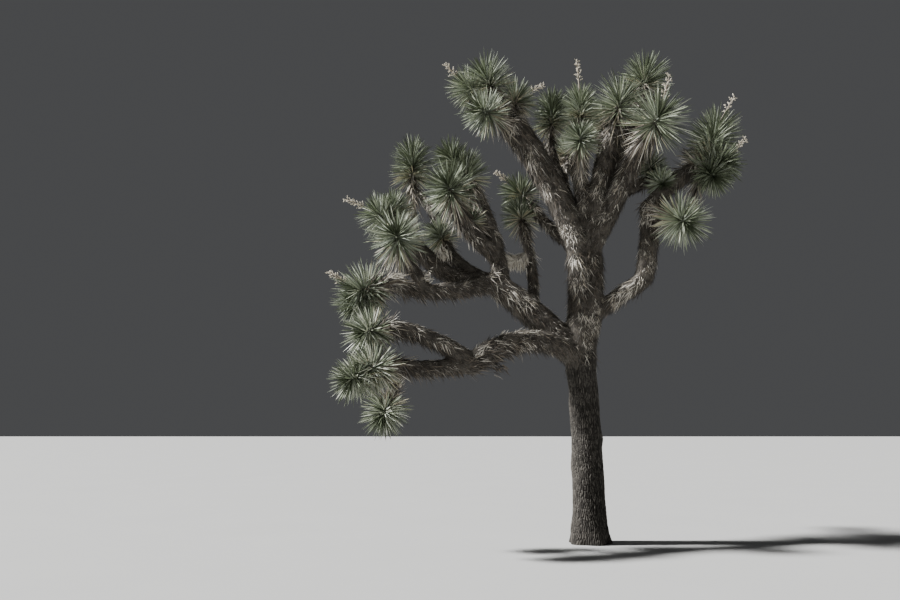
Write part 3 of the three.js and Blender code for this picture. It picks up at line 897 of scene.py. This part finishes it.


# %% [markdown]
# A pattern over faces this small would blur when it is exported. So each dead blade is dealt one
# of five weathered finishes, and the deals differ. The dark deal is partly the thatch's own colour
# and partly painted shade. The pale deal is painted sunlight on what faces up and at lit places
# read from the tree, and the thatch's own bleached colour in uneven patches.

# %% Thatch finishes
THATCH_TINTS = {
    "thatch_grey": tint(0.22, 0.206, 0.184),
    "thatch_straw": tint(0.4, 0.36, 0.285),
    "thatch_tan": tint(0.16, 0.134, 0.104),
    "thatch_dark": tint(0.05, 0.043, 0.036),
    "thatch_bleached": tint(0.7, 0.66, 0.575),
}
# Shares of those finishes in the dark thatch, partly painted shade, in the pale patches, partly
# painted sunlight, and in the skirts
DARK_AND_SHADED_DEAL = (0.1, 0.01, 0.29, 0.6, 0)
PALE_AND_SUNLIT_DEAL = (0.1, 0.3, 0.02, 0, 0.58)
SKIRT_DEAL = (0.24, 0.32, 0.24, 0.06, 0.14)
# Roughness of a finish, and how much darker its streaks are
THATCH_LOOK = (0.68, 0.72)
BLADE_STREAKS = (60, 3)
BLADE_BUMP = 0.001
# Bleached clouds, painted sunlight on what faces up and at the lit places below, scatter, and the soft
# edge of the pale patches
PATCH_CLOUDS = (0.6, 0.12, 62)
PAINTED_SUN_ON_TOPS = 0.36
PATCH_STRAY = 0.12
PATCH_EDGE = (0.1, 0.4)
PAINTED_SPOT_RISE = 0.6
# Lit places where sunlight is painted on the thatch as pale patches, and how far each one reaches
PAINTED_SUNLIT_SPOTS = (
    (seen(648, 213, -0.22), 0.10), (seen(643, 250, -0.23), 0.13), (seen(621, 298, -0.16), 0.16),
    (seen(600, 168, -0.15), 0.12), (seen(600, 190, -0.15), 0.10), (seen(621, 188, -0.28), 0.13),
    (seen(579, 177, -0.08), 0.12), (seen(581, 283, -0.14), 0.10), (seen(592, 330, -0.17), 0.15),
    (seen(569, 226, -0.15), 0.13), (seen(530, 166, -0.22), 0.15), (seen(543, 190, -0.2), 0.12),
    (seen(471, 250, -0.16), 0.12), (seen(490, 266, -0.04), 0.12), (seen(500, 333, -0.42), 0.13),
    (seen(530, 328, -0.3), 0.13), (seen(421, 205, 0.35), 0.12),
)


def blade_finish(name, colour, roughness, shade):
    """A blade's own colour, with a little unevenness along it."""
    finish = Finish(name, Specular_IOR_Level=0.3)
    streaks = finish.noise(*BLADE_STREAKS)
    darker = tuple(channel * shade for channel in colour[:3]) + (1,)
    surface = finish.blend(streaks, darker, colour)
    return finish.paint(surface, roughness + 0.15 * streaks, streaks, BLADE_BUMP)


def thatch_finish_of(random, root, out):
    """A finish for each blade: pale where bleached and where sunlight is painted, else darker."""
    # Paler in bleached clouds, with painted sunlight on what faces up and at the lit places
    bleach_and_painted_sun = clouds(root, *PATCH_CLOUDS) + PAINTED_SUN_ON_TOPS * out[:, 2]
    sunlit_spots = [np.exp(-np.sum((root - spot) ** 2, axis=1) / size**2) for spot, size in PAINTED_SUNLIT_SPOTS]
    bleach_and_painted_sun += PAINTED_SPOT_RISE * np.max(sunlit_spots, axis=0)
    bleach_and_sun_share = eased(bleach_and_painted_sun + random.normal(0, PATCH_STRAY, len(root)), *PATCH_EDGE)
    dark = random.choice(len(THATCH_TINTS), len(root), p=DARK_AND_SHADED_DEAL)
    pale = random.choice(len(THATCH_TINTS), len(root), p=PALE_AND_SUNLIT_DEAL)
    return np.where(random.random(len(root)) < bleach_and_sun_share, pale, dark)


thatch_finishes = [blade_finish(name, colour, *THATCH_LOOK) for name, colour in THATCH_TINTS.items()]
print(len(thatch_finishes), "finishes of thatch")

# %% Thatch
# The short mat and the long blades: how many, and the spans of length, width and lift in degrees
MAT_BLADES = 70000
MAT_LENGTH = (0.030, 0.065)
MAT_WIDTH = (0.0048, 0.0082)
MAT_LIFT = (8, 48)
LONG_BLADES = 30000
LONG_LENGTH = (0.055, 0.10)
LONG_LENGTH_FRESH = (0.15, 0.24)
LONG_WIDTH = (0.006, 0.0095)
LONG_LIFT = (6, 28)
# Shares of the blades that are left where the thatch is oldest
OLDEST_MAT_KEPT = 1
OLDEST_LONG_KEPT = 0.12
HEART_BARE = 0.9
# A power above 1 keeps most blades low
LOW_LIFTS = 1.4
THATCH_THICK = 0.003
THATCH_STRAY = 0.42
THATCH_HANG = 1.7
THATCH_DROOP = (0.07, 0.08)
THATCH_SUNK = 0.006
BARK_LINE = (1.80, 1.98)
CROWN_MIDDLE = -0.45


def lay_thatch(random, count, lengths, fresh_lengths, widths, lifts, oldest_kept, rings, pattern):
    """Dead blades over the whole wood, for the left and the right bundle."""
    root, out = skin_places(bough_skin, count, random)
    line, fresh = limb_under(root)
    kept = (random.random(count) < mix(oldest_kept, 1, fresh)) & (fresh < HEART_BARE)
    off_trunk = eased(root[:, 2], *BARK_LINE) + (np.abs(root[:, 0]) > BASE_RADIUS)
    kept &= random.random(count) < off_trunk
    root, out, line, fresh = root[kept], out[kept], line[kept], fresh[kept]
    count = len(root)
    along = unit(line - out * np.sum(line * out, axis=1)[:, None])
    lift = np.radians(mix(*lifts, random.random(count) ** LOW_LIFTS))
    way = out * np.sin(lift)[:, None] - along * np.cos(lift)[:, None]
    way += np.cross(along, out) * random.normal(0, THATCH_STRAY, count)[:, None]
    hang = THATCH_HANG * (1 - np.abs(line[:, 2])) * random.random(count)
    way = unit(way + DOWN * hang[:, None])
    sunk = np.maximum(0, math.sin(math.radians(lifts[0])) - np.sum(way * out, axis=1))
    way = unit(way + out * sunk[:, None])
    old_length = mix(*lengths, random.random(count))
    length = mix(old_length, mix(*fresh_lengths, random.random(count)), fresh)
    width = mix(*widths, random.random(count))
    sag = droop(random, count, *THATCH_DROOP)
    foot = root - out * THATCH_SUNK
    points = blade_points(foot, way, out, length, width, THATCH_THICK, sag, rings, DEAD_SECTION)
    finish = thatch_finish_of(random, root, out)
    for side, mine in (("left", root[:, 0] < CROWN_MIDDLE), ("right", root[:, 0] >= CROWN_MIDDLE)):
        yield side, points[mine], pattern, finish[mine]


def make_thatch(name, bundle):
    piece = bundle.make(name, thatch_finishes)
    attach(piece, "root")
    print(name, triangles(piece), "triangles")


random = np.random.default_rng(61)
mats = {"left": Bundle(), "right": Bundle()}
mat_rule = (MAT_LENGTH, MAT_LENGTH, MAT_WIDTH, MAT_LIFT, OLDEST_MAT_KEPT)
for side, *blades in lay_thatch(random, MAT_BLADES, *mat_rule, BROKEN_RINGS, BROKEN_PATTERN):
    mats[side].add(*blades)
for side, bundle in mats.items():
    make_thatch("thatch_mat_" + side, bundle)
long_thatch = {"left": Bundle(), "right": Bundle()}
long_rule = (LONG_LENGTH, LONG_LENGTH_FRESH, LONG_WIDTH, LONG_LIFT, OLDEST_LONG_KEPT)
for side, *blades in lay_thatch(random, LONG_BLADES, *long_rule, DEAD_RINGS, DEAD_PATTERN):
    long_thatch[side].add(*blades)

# %% [markdown]
# Just behind the live leaves, the newest dead ones stand off in a skirt. They are as long as the
# live leaves and point back, more loosely than the thatch.

# %% Spirals and gaps
SIDEWAYS = np.array((0.3, 0.9, 0.2))
GOLDEN_ANGLE = math.radians(137.508)
WOOD_NEARNESS_STEP = 0.05


def spiral(random, count):
    """Turns of leaves round a stem by the golden angle, from a start at random."""
    return random.random() * 2 * math.pi + GOLDEN_ANGLE * np.arange(count)


def leaf_ways(axis, turn, cosine):
    """Ways that leave an axis at given angles, turned round it."""
    across = unit(np.cross(SIDEWAYS, axis))
    over = np.cross(axis, across)
    sine = np.sqrt(1 - cosine**2)
    around = across * np.cos(turn)[:, None] + over * np.sin(turn)[:, None]
    return unit(axis * cosine[:, None] + around * sine[:, None])


def clear_of_wood(root, way, length, own, tested, least):
    """Which leaves keep so many radii off every limb but their own, at the tested shares."""
    stems = [rosette.stem for rosette in rosettes]
    others = [limb for limb in (*limbs.values(), *stems) if limb is not own]
    kept = np.ones(len(root), bool)
    for share in tested:
        places = root + way * (length * share)[:, None]
        nearest = np.full(len(places), FAR)
        for limb in others:
            nearest = np.minimum(nearest, limb.nearness(places, WOOD_NEARNESS_STEP)[1].min(axis=1))
        kept &= nearest > least
    return kept


# %% Skirts
SKIRT_LEAVES = 150
SKIRT_ANGLES = (112, 166)
SKIRT_ANGLE_SPREAD = 8
SKIRT_TURN_SPREAD = 0.2
SKIRT_BACK = (0.5, 2.6)
SKIRT_ROOT = 0.5
SKIRT_LENGTH = (0.66, 0.95)
SKIRT_WIDTH = (0.010, 0.015)
SKIRT_SAG = 0.25
SKIRT_DROOP = (0.08, 0.1)
# Shares of a leaf at which it has to keep so many radii off other limbs
SKIRT_TESTED = (0.55, 1.0)
SKIRT_CLEAR = 0.7


def add_dead(bundle, random, deal, kept, root, way, face, length, width, sag):
    """Dead leaves into a bundle, each dealt a finish."""
    points = blade_points(root, way, face, length, width, THATCH_THICK, sag, DEAD_RINGS, DEAD_SECTION)
    finish = random.choice(len(THATCH_TINTS), len(root), p=deal)
    bundle.add(points[kept], DEAD_PATTERN, finish[kept])


def lay_skirt(bundle, rosette, random):
    count = SKIRT_LEAVES
    share = np.arange(count) / (count - 1)
    turn = spiral(random, count) + random.normal(0, SKIRT_TURN_SPREAD, count)
    angle = np.radians(mix(*SKIRT_ANGLES, share) + random.normal(0, SKIRT_ANGLE_SPREAD, count))
    way = leaf_ways(rosette.axis, turn, np.cos(angle))
    way = unit(way + DOWN * (SKIRT_SAG * random.random(count))[:, None])
    back = mix(*SKIRT_BACK, share)[:, None] * rosette.leafy_length
    root = rosette.middle - rosette.axis * back
    root = root + way * rosette.leaf_length * STEM_TIP_SHARE * SKIRT_ROOT
    length = rosette.leaf_length * mix(*SKIRT_LENGTH, random.random(count))
    width = mix(*SKIRT_WIDTH, random.random(count))
    sag = droop(random, count, *SKIRT_DROOP)
    kept = clear_of_wood(root, way, length, rosette.stem, SKIRT_TESTED, SKIRT_CLEAR)
    face = np.broadcast_to(rosette.axis, way.shape)
    add_dead(bundle, random, SKIRT_DEAL, kept, root, way, face, length, width, sag)


for rosette in rosettes:
    side = "left" if rosette.middle[0] < CROWN_MIDDLE else "right"
    lay_skirt(long_thatch[side], rosette, random)
for side, bundle in long_thatch.items():
    make_thatch("thatch_long_" + side, bundle)

# %% [markdown]
# ## Live leaves
#
# The live leaves spiral round the stem's end by the golden angle, from the upright young ones in
# the heart to the old ones that bend back. This is the rule that placed the solids' few leaves,
# with many more. A leaf that would run into a limb is left out.

# %% Leaf finishes
LEAF_TINTS = {
    "leaf_deep_green_and_shade": tint(0.095, 0.115, 0.068),
    "leaf_green": tint(0.26, 0.3, 0.2),
    "leaf_blue_green": tint(0.35, 0.385, 0.31),
    "leaf_pale": tint(0.54, 0.57, 0.45),
    "leaf_yellowing": tint(0.5, 0.47, 0.32),
    "leaf_sunlit": tint(0.78, 0.8, 0.68),
}
LEAF_LOOK = (0.5, 0.7)
# Shares of those finishes by a leaf's age. The heart leaves get painted shade; the middle leaves
# of the shade-painted heads get painted shade too, and those of the low heads painted sunlight
LEAF_DEALS = {
    # The heart leaves are all deep green: painted shade in the middle of the rosette
    "heart": (1, 0, 0, 0, 0, 0),
    "middle": (0.2, 0.33, 0.3, 0.17, 0, 0),
    "middle_painted_shade": (0.56, 0.27, 0.11, 0.06, 0, 0),
    "middle_painted_sun": (0.26, 0.2, 0.16, 0.18, 0, 0.2),
    "old": (0.3, 0.25, 0.1, 0.1, 0.25, 0),
}
SECTORS = {
    "left": ("far_left", "left_front", "left_outer", "left_inner", "left_tall"),
    "left_upper": ("left_raised", "left_upright", "left_shaded", "gap_upper", "gap_lower", "back_left"),
    "top_left": ("top_left_front", "top_left", "top_left_inner"),
    "centre": ("centre_left", "centre_top", "centre_front", "back_middle", "top_right_left"),
    "right": ("top_right", "right_front", "right_inner", "right_outer", "right_droop", "right_low",
              "back_right"),
    "low": ("low_upper", "low_middle", "low_hanging"),
}
SHADE_PAINTED_HEADS = ("right_outer", "right_droop", "left_raised", "left_tall", "left_upright", "left_shaded",
              "gap_upper", "gap_lower", "centre_left", "top_right")


def leaf_deals(head):
    """The deals of a head's heart leaves, middle leaves and old leaves."""
    # Painted shade on the middle leaves of some heads, painted sunlight on those of the low heads
    middle = "middle"
    if head in SHADE_PAINTED_HEADS:
        middle = "middle_painted_shade"
    elif head in SECTORS["low"]:
        middle = "middle_painted_sun"
    return [LEAF_DEALS[age] for age in ("heart", middle, "old")]


leaf_finishes = [blade_finish(name, colour, *LEAF_LOOK) for name, colour in LEAF_TINTS.items()]
print(len(leaf_finishes), "finishes of live leaves")

# %% Live leaves
LEAVES_PER_ROSETTE = 360
# A rosette's number of leaves: a fixed share, and a share that grows with the leafy length
COUNT_FIXED = 0.7
COUNT_BY_LENGTH = 0.7
LEAF_ANGLES = (12, 116)
TURN_SPREAD = 0.3
LEAF_STRAY = 0.08
LEAF_LENGTH_SPREAD = (0.8, 1.1)
LEAF_WIDTH = (0.0095, 0.0140)
LEAF_THICK = 0.0055
LEAF_ROLL = 0.55
LEAF_DROOP = (0.03, 0.03)
LEAF_ROOT = 0.07
# The heart's young leaves, as a share of all, and how short they begin. Old leaves follow a share
HEART_SHARE = 0.14
HEART_LENGTH = 0.45
OLD_FROM = 0.8
# Shares of a leaf at which it has to keep so many radii off other limbs
LEAF_TESTED = (0.45, 0.75, 1.0)
LEAF_KEPT_OFF = 0.96


def lay_rosette(bundle, rosette):
    random = np.random.default_rng(rosette.seed)
    stretch = rosette.leafy_length / rosette.leaf_length
    count = round(LEAVES_PER_ROSETTE * (COUNT_FIXED + stretch * COUNT_BY_LENGTH))
    share = np.arange(count) / (count - 1)
    turn = spiral(random, count)
    turn += (random.random(count) - 0.5) * TURN_SPREAD
    way = leaf_ways(rosette.axis, turn, mix(*np.cos(np.radians(LEAF_ANGLES)), share))
    way = unit(way + random.normal(0, LEAF_STRAY, (count, 3)))
    heart = rosette.middle - rosette.axis * (rosette.leafy_length * share)[:, None]
    root = heart + way * rosette.leaf_length * LEAF_ROOT
    length = rosette.leaf_length * mix(*LEAF_LENGTH_SPREAD, random.random(count)) * (1 - LEAF_ROOT)
    length *= mix(HEART_LENGTH, 1, eased(share, 0, HEART_SHARE))
    width = mix(*LEAF_WIDTH, random.random(count))
    sag = droop(random, count, *LEAF_DROOP)
    kept = clear_of_wood(root, way, length, rosette.stem, LEAF_TESTED, LEAF_KEPT_OFF)
    face = rosette.axis + random.normal(0, LEAF_ROLL, way.shape)
    points = blade_points(root, way, face, length, width, LEAF_THICK, sag, LIVE_RINGS, LIVE_SECTION)
    ages = np.where(share < HEART_SHARE, 0, np.where(share < OLD_FROM, 1, 2))
    deals = np.cumsum(leaf_deals(rosette.head), axis=1)[ages]
    finish = np.minimum((random.random(count)[:, None] > deals).sum(axis=1), len(LEAF_TINTS) - 1)
    bundle.add(points[kept], LIVE_PATTERN, finish[kept])
    return int(kept.sum())


leaf_count = 0
for sector, heads in SECTORS.items():
    bundle = Bundle()
    for rosette in rosettes:
        if rosette.head in heads:
            leaf_count += lay_rosette(bundle, rosette)
    piece = bundle.make("live_leaves_" + sector, leaf_finishes)
    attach(piece, "root")
    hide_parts(*("leaves_" + head for head in heads))
    print(piece.name, triangles(piece), "triangles")
print(leaf_count, "live leaves")

# %% [markdown]
# ## Dead limb
#
# A short broken limb hangs between two boughs. Its wood is bare and bent, and its last leaves
# are curled round it in a pale bundle, with a few that hang. Small tufts of such leaves are left
# on other boughs too. Wood and leaves are pale partly by their own bleached colour and partly as
# painted sunlight. The wood is a tube roughened by noise.

# %% Bare wood
BARE_SHARE = 0.8
BARE_CELL = 0.007
BARE_LUMPS = ((0.010, 0.06, 71), (0.004, 0.018, 72))
# Pale tones of the bare wood: partly bleached wood and partly painted sunlight
BARE_DARK = tint(0.24, 0.215, 0.18)
BARE_PALE = tint(0.62, 0.58, 0.51)
BARE_GRAIN = (90, 4, (1, 0.3, 0.3))
BARE_PALE_STEP = (0.35, 0.7)
BARE_BUMP = 0.002


def bare_wood_finish():
    wood = Finish("bleached_sunlit_wood", Specular_IOR_Level=0.2)
    grain = wood.noise(*BARE_GRAIN)
    colour = wood.blend(wood.step(grain, *BARE_PALE_STEP), BARE_DARK, BARE_PALE)
    return wood.paint(colour, 0.75 + 0.2 * grain, grain, BARE_BUMP)


bare_skin = one_skin("bare_limb", [tube(limbs[DEAD_LIMB], BARE_SHARE)], BARE_CELL)
roughen(bare_skin, BARE_LUMPS)
bare_limb = add_object("bare_limb", bare_skin)
bare_limb.data.materials.append(bare_wood_finish())
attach(bare_limb, "root")
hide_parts(DEAD_LIMB)
print("dead limb:", triangles(bare_limb), "triangles")

# %% Curled leaves
CURLED_LEAVES = 340
CURLED_LENGTH = (0.08, 0.16)
CURLED_WIDTH = (0.009, 0.015)
# Mostly the bleached finish: partly the leaves' own bleached colour and partly painted sunlight
CURLED_PALE_SUNLIT_DEAL = (0.05, 0.18, 0.02, 0, 0.75)
# Where along the limb they start, how deep in it they root, and how far they lift off it
CURLED_FROM = 0.25
CURLED_ROOT = 0.7
CURLED_LIFT = (0.3, 1.1)
CURLED_STRAY = 0.25
CURLED_BEND = 0.5
CURLED_SAG = 0.1
HANGING_SHARE = 0.3
HANGING_OUT = 0.4
# Small tufts left on the boughs: place, way, length, number of leaves, and the deal of finishes
DEAD_TUFTS = (
    (seen(442, 253, 0), (0.2, -0.2, -0.8), 0.15, 90, CURLED_PALE_SUNLIT_DEAL),
    (seen(400, 277, -0.55), (-0.9, 0, 0.35), 0.12, 26, CURLED_PALE_SUNLIT_DEAL),
    (seen(428, 277, -0.33), (-0.6, -0.3, -0.1), 0.10, 60, CURLED_PALE_SUNLIT_DEAL),
    (seen(495, 366, -0.36), (0.8, 0, -0.5), 0.10, 60, DARK_AND_SHADED_DEAL),
    (seen(525, 262, 0.16), (0, -0.1, -1), 0.17, 26, CURLED_PALE_SUNLIT_DEAL),
)
TUFT_ROOTS = 0.035
TUFT_STRAY = 0.45
TUFT_SHORTEST = 0.5
EVERY = slice(None)


def lay_tuft(bundle, random, place, way, longest, count, deal):
    """A loose tuft of dead leaves that are rooted close together and bend back toward each other."""
    stray = random.normal(0, TUFT_STRAY, (count, 3))
    root = place + random.normal(0, TUFT_ROOTS, (count, 3))
    length = longest * mix(TUFT_SHORTEST, 1, random.random(count))
    width = mix(*CURLED_WIDTH, random.random(count))
    sag = -stray * CURLED_BEND + DOWN * CURLED_SAG
    face = random.normal(0, 1, (count, 3))
    add_dead(bundle, random, deal, EVERY, root, unit(way + stray), face, length, width, sag)


def lay_curled(bundle, random, limb, count):
    """Dead leaves wrapped loosely along the dead limb, each bent into an arc."""
    share = mix(CURLED_FROM, 1, random.random(count))
    out = limb.outward(share, random.random(count) * 2 * math.pi)
    root = limb.point(share) + out * (limb.radius(share) * CURLED_ROOT)[:, None]
    way = -limb.heading(share) + out * random.uniform(*CURLED_LIFT, count)[:, None]
    hanging = (random.random(count) < HANGING_SHARE)[:, None]
    way = np.where(hanging, DOWN + HANGING_OUT * out, way)
    way = unit(way + random.normal(0, CURLED_STRAY, (count, 3)))
    length = mix(*CURLED_LENGTH, random.random(count))
    sag = -out * (CURLED_BEND * random.random(count))[:, None] + DOWN * CURLED_SAG
    width = mix(*CURLED_WIDTH, random.random(count))
    add_dead(bundle, random, CURLED_PALE_SUNLIT_DEAL, EVERY, root, way, out, length, width, sag)


bundle = Bundle()
random = np.random.default_rng(73)
lay_curled(bundle, random, limbs[DEAD_LIMB], CURLED_LEAVES)
for place, way, *sizes in DEAD_TUFTS:
    lay_tuft(bundle, random, np.array(place), np.array(way), *sizes)
leaves_on_dead_limb = bundle.make("curled_leaves", thatch_finishes)
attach(leaves_on_dead_limb, "root")
print("curled leaves:", triangles(leaves_on_dead_limb), "triangles")

# %% [markdown]
# ## Flower stalks
#
# After flowering, a dry stalk with split seed pods stays in some heads for a year or more. Each is
# a tapering stalk with short side twigs all round, and every twig ends in a few pods.

# %% Flower stalks
# Head, rosette, length, and the way each stalk points
STALKS = [
    ("centre_top", 0, 0.48, (-0.05, 0, 1)),
    ("right_front", 0, 0.52, (0.3, 0.1, 1)),
    ("right_outer", 0, 0.47, (0.6, 0.1, 1)),
    ("left_outer", 0, 0.40, (-0.9, 0, 0.4)),
    ("top_left", 1, 0.36, (-0.9, 0, 1)),
    ("gap_upper", 0, 0.36, (-0.73, 0, 0.67)),
    ("top_left_inner", 0, 0.38, (0.9, 0, 0.42)),
    ("right_droop", 0, 0.38, (0.68, 0, 0.74)),
    ("far_left", 0, 0.36, (-0.83, 0, 0.55)),
]
# Rings along a stalk, a twig and a pod: share of its length and of its width
STALK_RINGS = ((0, 1), (0.35, 0.8), (0.7, 0.6), (0.95, 0.35))
TWIG_RINGS = ((0, 1), (0.9, 0.7))
POD_RINGS = ((0, 0.35), (0.25, 0.9), (0.6, 1), (0.88, 0.6))
STALK_WIDTH = 0.018
STALK_SIDES = 7
TWIGS = 18
TWIG_STRETCH = (0.42, 0.97)
TWIG_TAPER = 0.5
TWIG_ANGLES = (35, 70)
TWIG_LENGTH = (0.035, 0.065)
TWIG_WIDTH = 0.006
TWIG_SIDES = 5
PODS_PER_TWIG = 3
POD_START = 0.45
POD_APART = 0.25
POD_STRAY = 0.55
POD_RISE = 0.3
POD_LENGTH = (0.020, 0.032)
POD_WIDTH = 0.42
POD_SIDES = 5
STALK_TINT = tint(0.42, 0.37, 0.29)
STALK_LOOK = (0.75, 0.7)
POD_TINT = tint(0.62, 0.57, 0.47)
POD_LOOK = (0.7, 0.7)


def spindles(root, way, length, width, rings, sides):
    """Many tapering round shapes, by shape, each from its root along its way."""
    across = unit(np.cross(way, SIDEWAYS))
    over = np.cross(way, across)
    turns = np.arange(sides) * 2 * math.pi / sides
    rows = []
    for along, wide in rings:
        middle = root + way * (length * along)[:, None]
        for turn in turns:
            out = across * math.cos(turn) + over * math.sin(turn)
            rows.append(middle + out * (width * wide / 2)[:, None])
    rows.append(root)
    rows.append(root + way * length[:, None])
    return np.stack(rows, axis=1), skin_faces(len(rings), sides)


def lay_stalk(bundle, random, rosette, length, way):
    way = unit(np.array(way, float))[None]
    root = rosette.middle[None]
    stalk_size = (np.array([length]), np.array([STALK_WIDTH]))
    stalk = spindles(root, way, *stalk_size, STALK_RINGS, STALK_SIDES)
    bundle.add(*stalk, np.zeros(1, int))
    along = np.linspace(*TWIG_STRETCH, TWIGS)
    turn = GOLDEN_ANGLE * np.arange(TWIGS)
    twig_way = leaf_ways(way[0], turn, np.cos(np.radians(random.uniform(*TWIG_ANGLES, TWIGS))))
    twig_root = root + way * (length * along)[:, None]
    taper = mix(1.0, TWIG_TAPER, (along - TWIG_STRETCH[0]) / (1 - TWIG_STRETCH[0]))
    twig_length = random.uniform(*TWIG_LENGTH, TWIGS) * taper
    twig_width = np.full(TWIGS, TWIG_WIDTH)
    twig = spindles(twig_root, twig_way, twig_length, twig_width, TWIG_RINGS, TWIG_SIDES)
    bundle.add(*twig, np.zeros(TWIGS, int))
    for pod in range(PODS_PER_TWIG):
        pod_root = twig_root + twig_way * (twig_length * (POD_START + POD_APART * pod))[:, None]
        pod_way = unit(twig_way + random.normal(0, POD_STRAY, (TWIGS, 3)) + way * POD_RISE)
        pod_length = random.uniform(*POD_LENGTH, TWIGS)
        pods = spindles(pod_root, pod_way, pod_length, pod_length * POD_WIDTH, POD_RINGS, POD_SIDES)
        bundle.add(*pods, np.ones(TWIGS, int))


bundle = Bundle()
random = np.random.default_rng(81)
for head, second, length, way in STALKS:
    owner = [rosette for rosette in rosettes if rosette.head == head][second]
    lay_stalk(bundle, random, owner, length, way)
stalk_finish = blade_finish("dry_stalk", STALK_TINT, *STALK_LOOK)
pod_finish = blade_finish("dry_pods", POD_TINT, *POD_LOOK)
flower_stalks = bundle.make("flower_stalks", [stalk_finish, pod_finish])
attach(flower_stalks, "root")
print("flower stalks:", triangles(flower_stalks), "triangles")

# %% [markdown]
# ## Floor and light
#
# A plain pale floor and a soft studio set: one broad key from the left and above, as the sun
# stands in such a view, and a weak fill, so that the side away from the key keeps its shape.

# %% Floor
FLOOR_SIZE = 400
FLOOR_CORNERS = ((-1, -1, 0), (1, -1, 0), (1, 1, 0), (-1, 1, 0))
FLOOR_TINTS = (tint(0.42, 0.42, 0.41), tint(0.45, 0.45, 0.44))
FLOOR_CLOUDS = (0.7, 2)


def floor_finish():
    pale = Finish("pale_floor", Roughness=0.95)
    colour = pale.blend(pale.noise(*FLOOR_CLOUDS), *FLOOR_TINTS)
    pale.feed(pale.shader.inputs["Base Color"], colour)
    return pale.material


corners = np.array(FLOOR_CORNERS) * FLOOR_SIZE / 2
floor = make_object("floor", corners, [(0, 1, 2, 3)], [floor_finish()])
print("floor", FLOOR_SIZE, "m across")

# %% Light
KEY_WAY = (-0.77, -0.02, 0.64)
KEY_STRENGTH = 12
KEY_SPREAD = 5
FILL_PLACE = (6, -9, 5)
FILL_WAY = (6.5, -9, 2)
FILL_POWER = 12
FILL_SIZE = 5
SKY_TONE = (0.55, 0.56, 0.58, 1)
SKY_STRENGTH = 0.13


def aim(lamp, way):
    """Turns a lamp so that it shines against a way."""
    lamp.rotation_euler = Vector(way).to_track_quat("Z", "Y").to_euler()


key = add_object("key", bpy.data.lights.new("key", "SUN"))
key.data.energy = KEY_STRENGTH
key.data.angle = math.radians(KEY_SPREAD)
aim(key, KEY_WAY)
fill = add_object("fill", bpy.data.lights.new("fill", "AREA"))
fill.data.energy = FILL_POWER
fill.data.size = FILL_SIZE
fill.location = FILL_PLACE
aim(fill, FILL_WAY)

sky = bpy.data.worlds.new("sky")
sky.use_nodes = True
sky.node_tree.nodes["Background"].inputs["Color"].default_value = SKY_TONE
sky.node_tree.nodes["Background"].inputs["Strength"].default_value = SKY_STRENGTH
bpy.context.scene.world = sky
print("key", KEY_STRENGTH, "and fill", FILL_POWER)
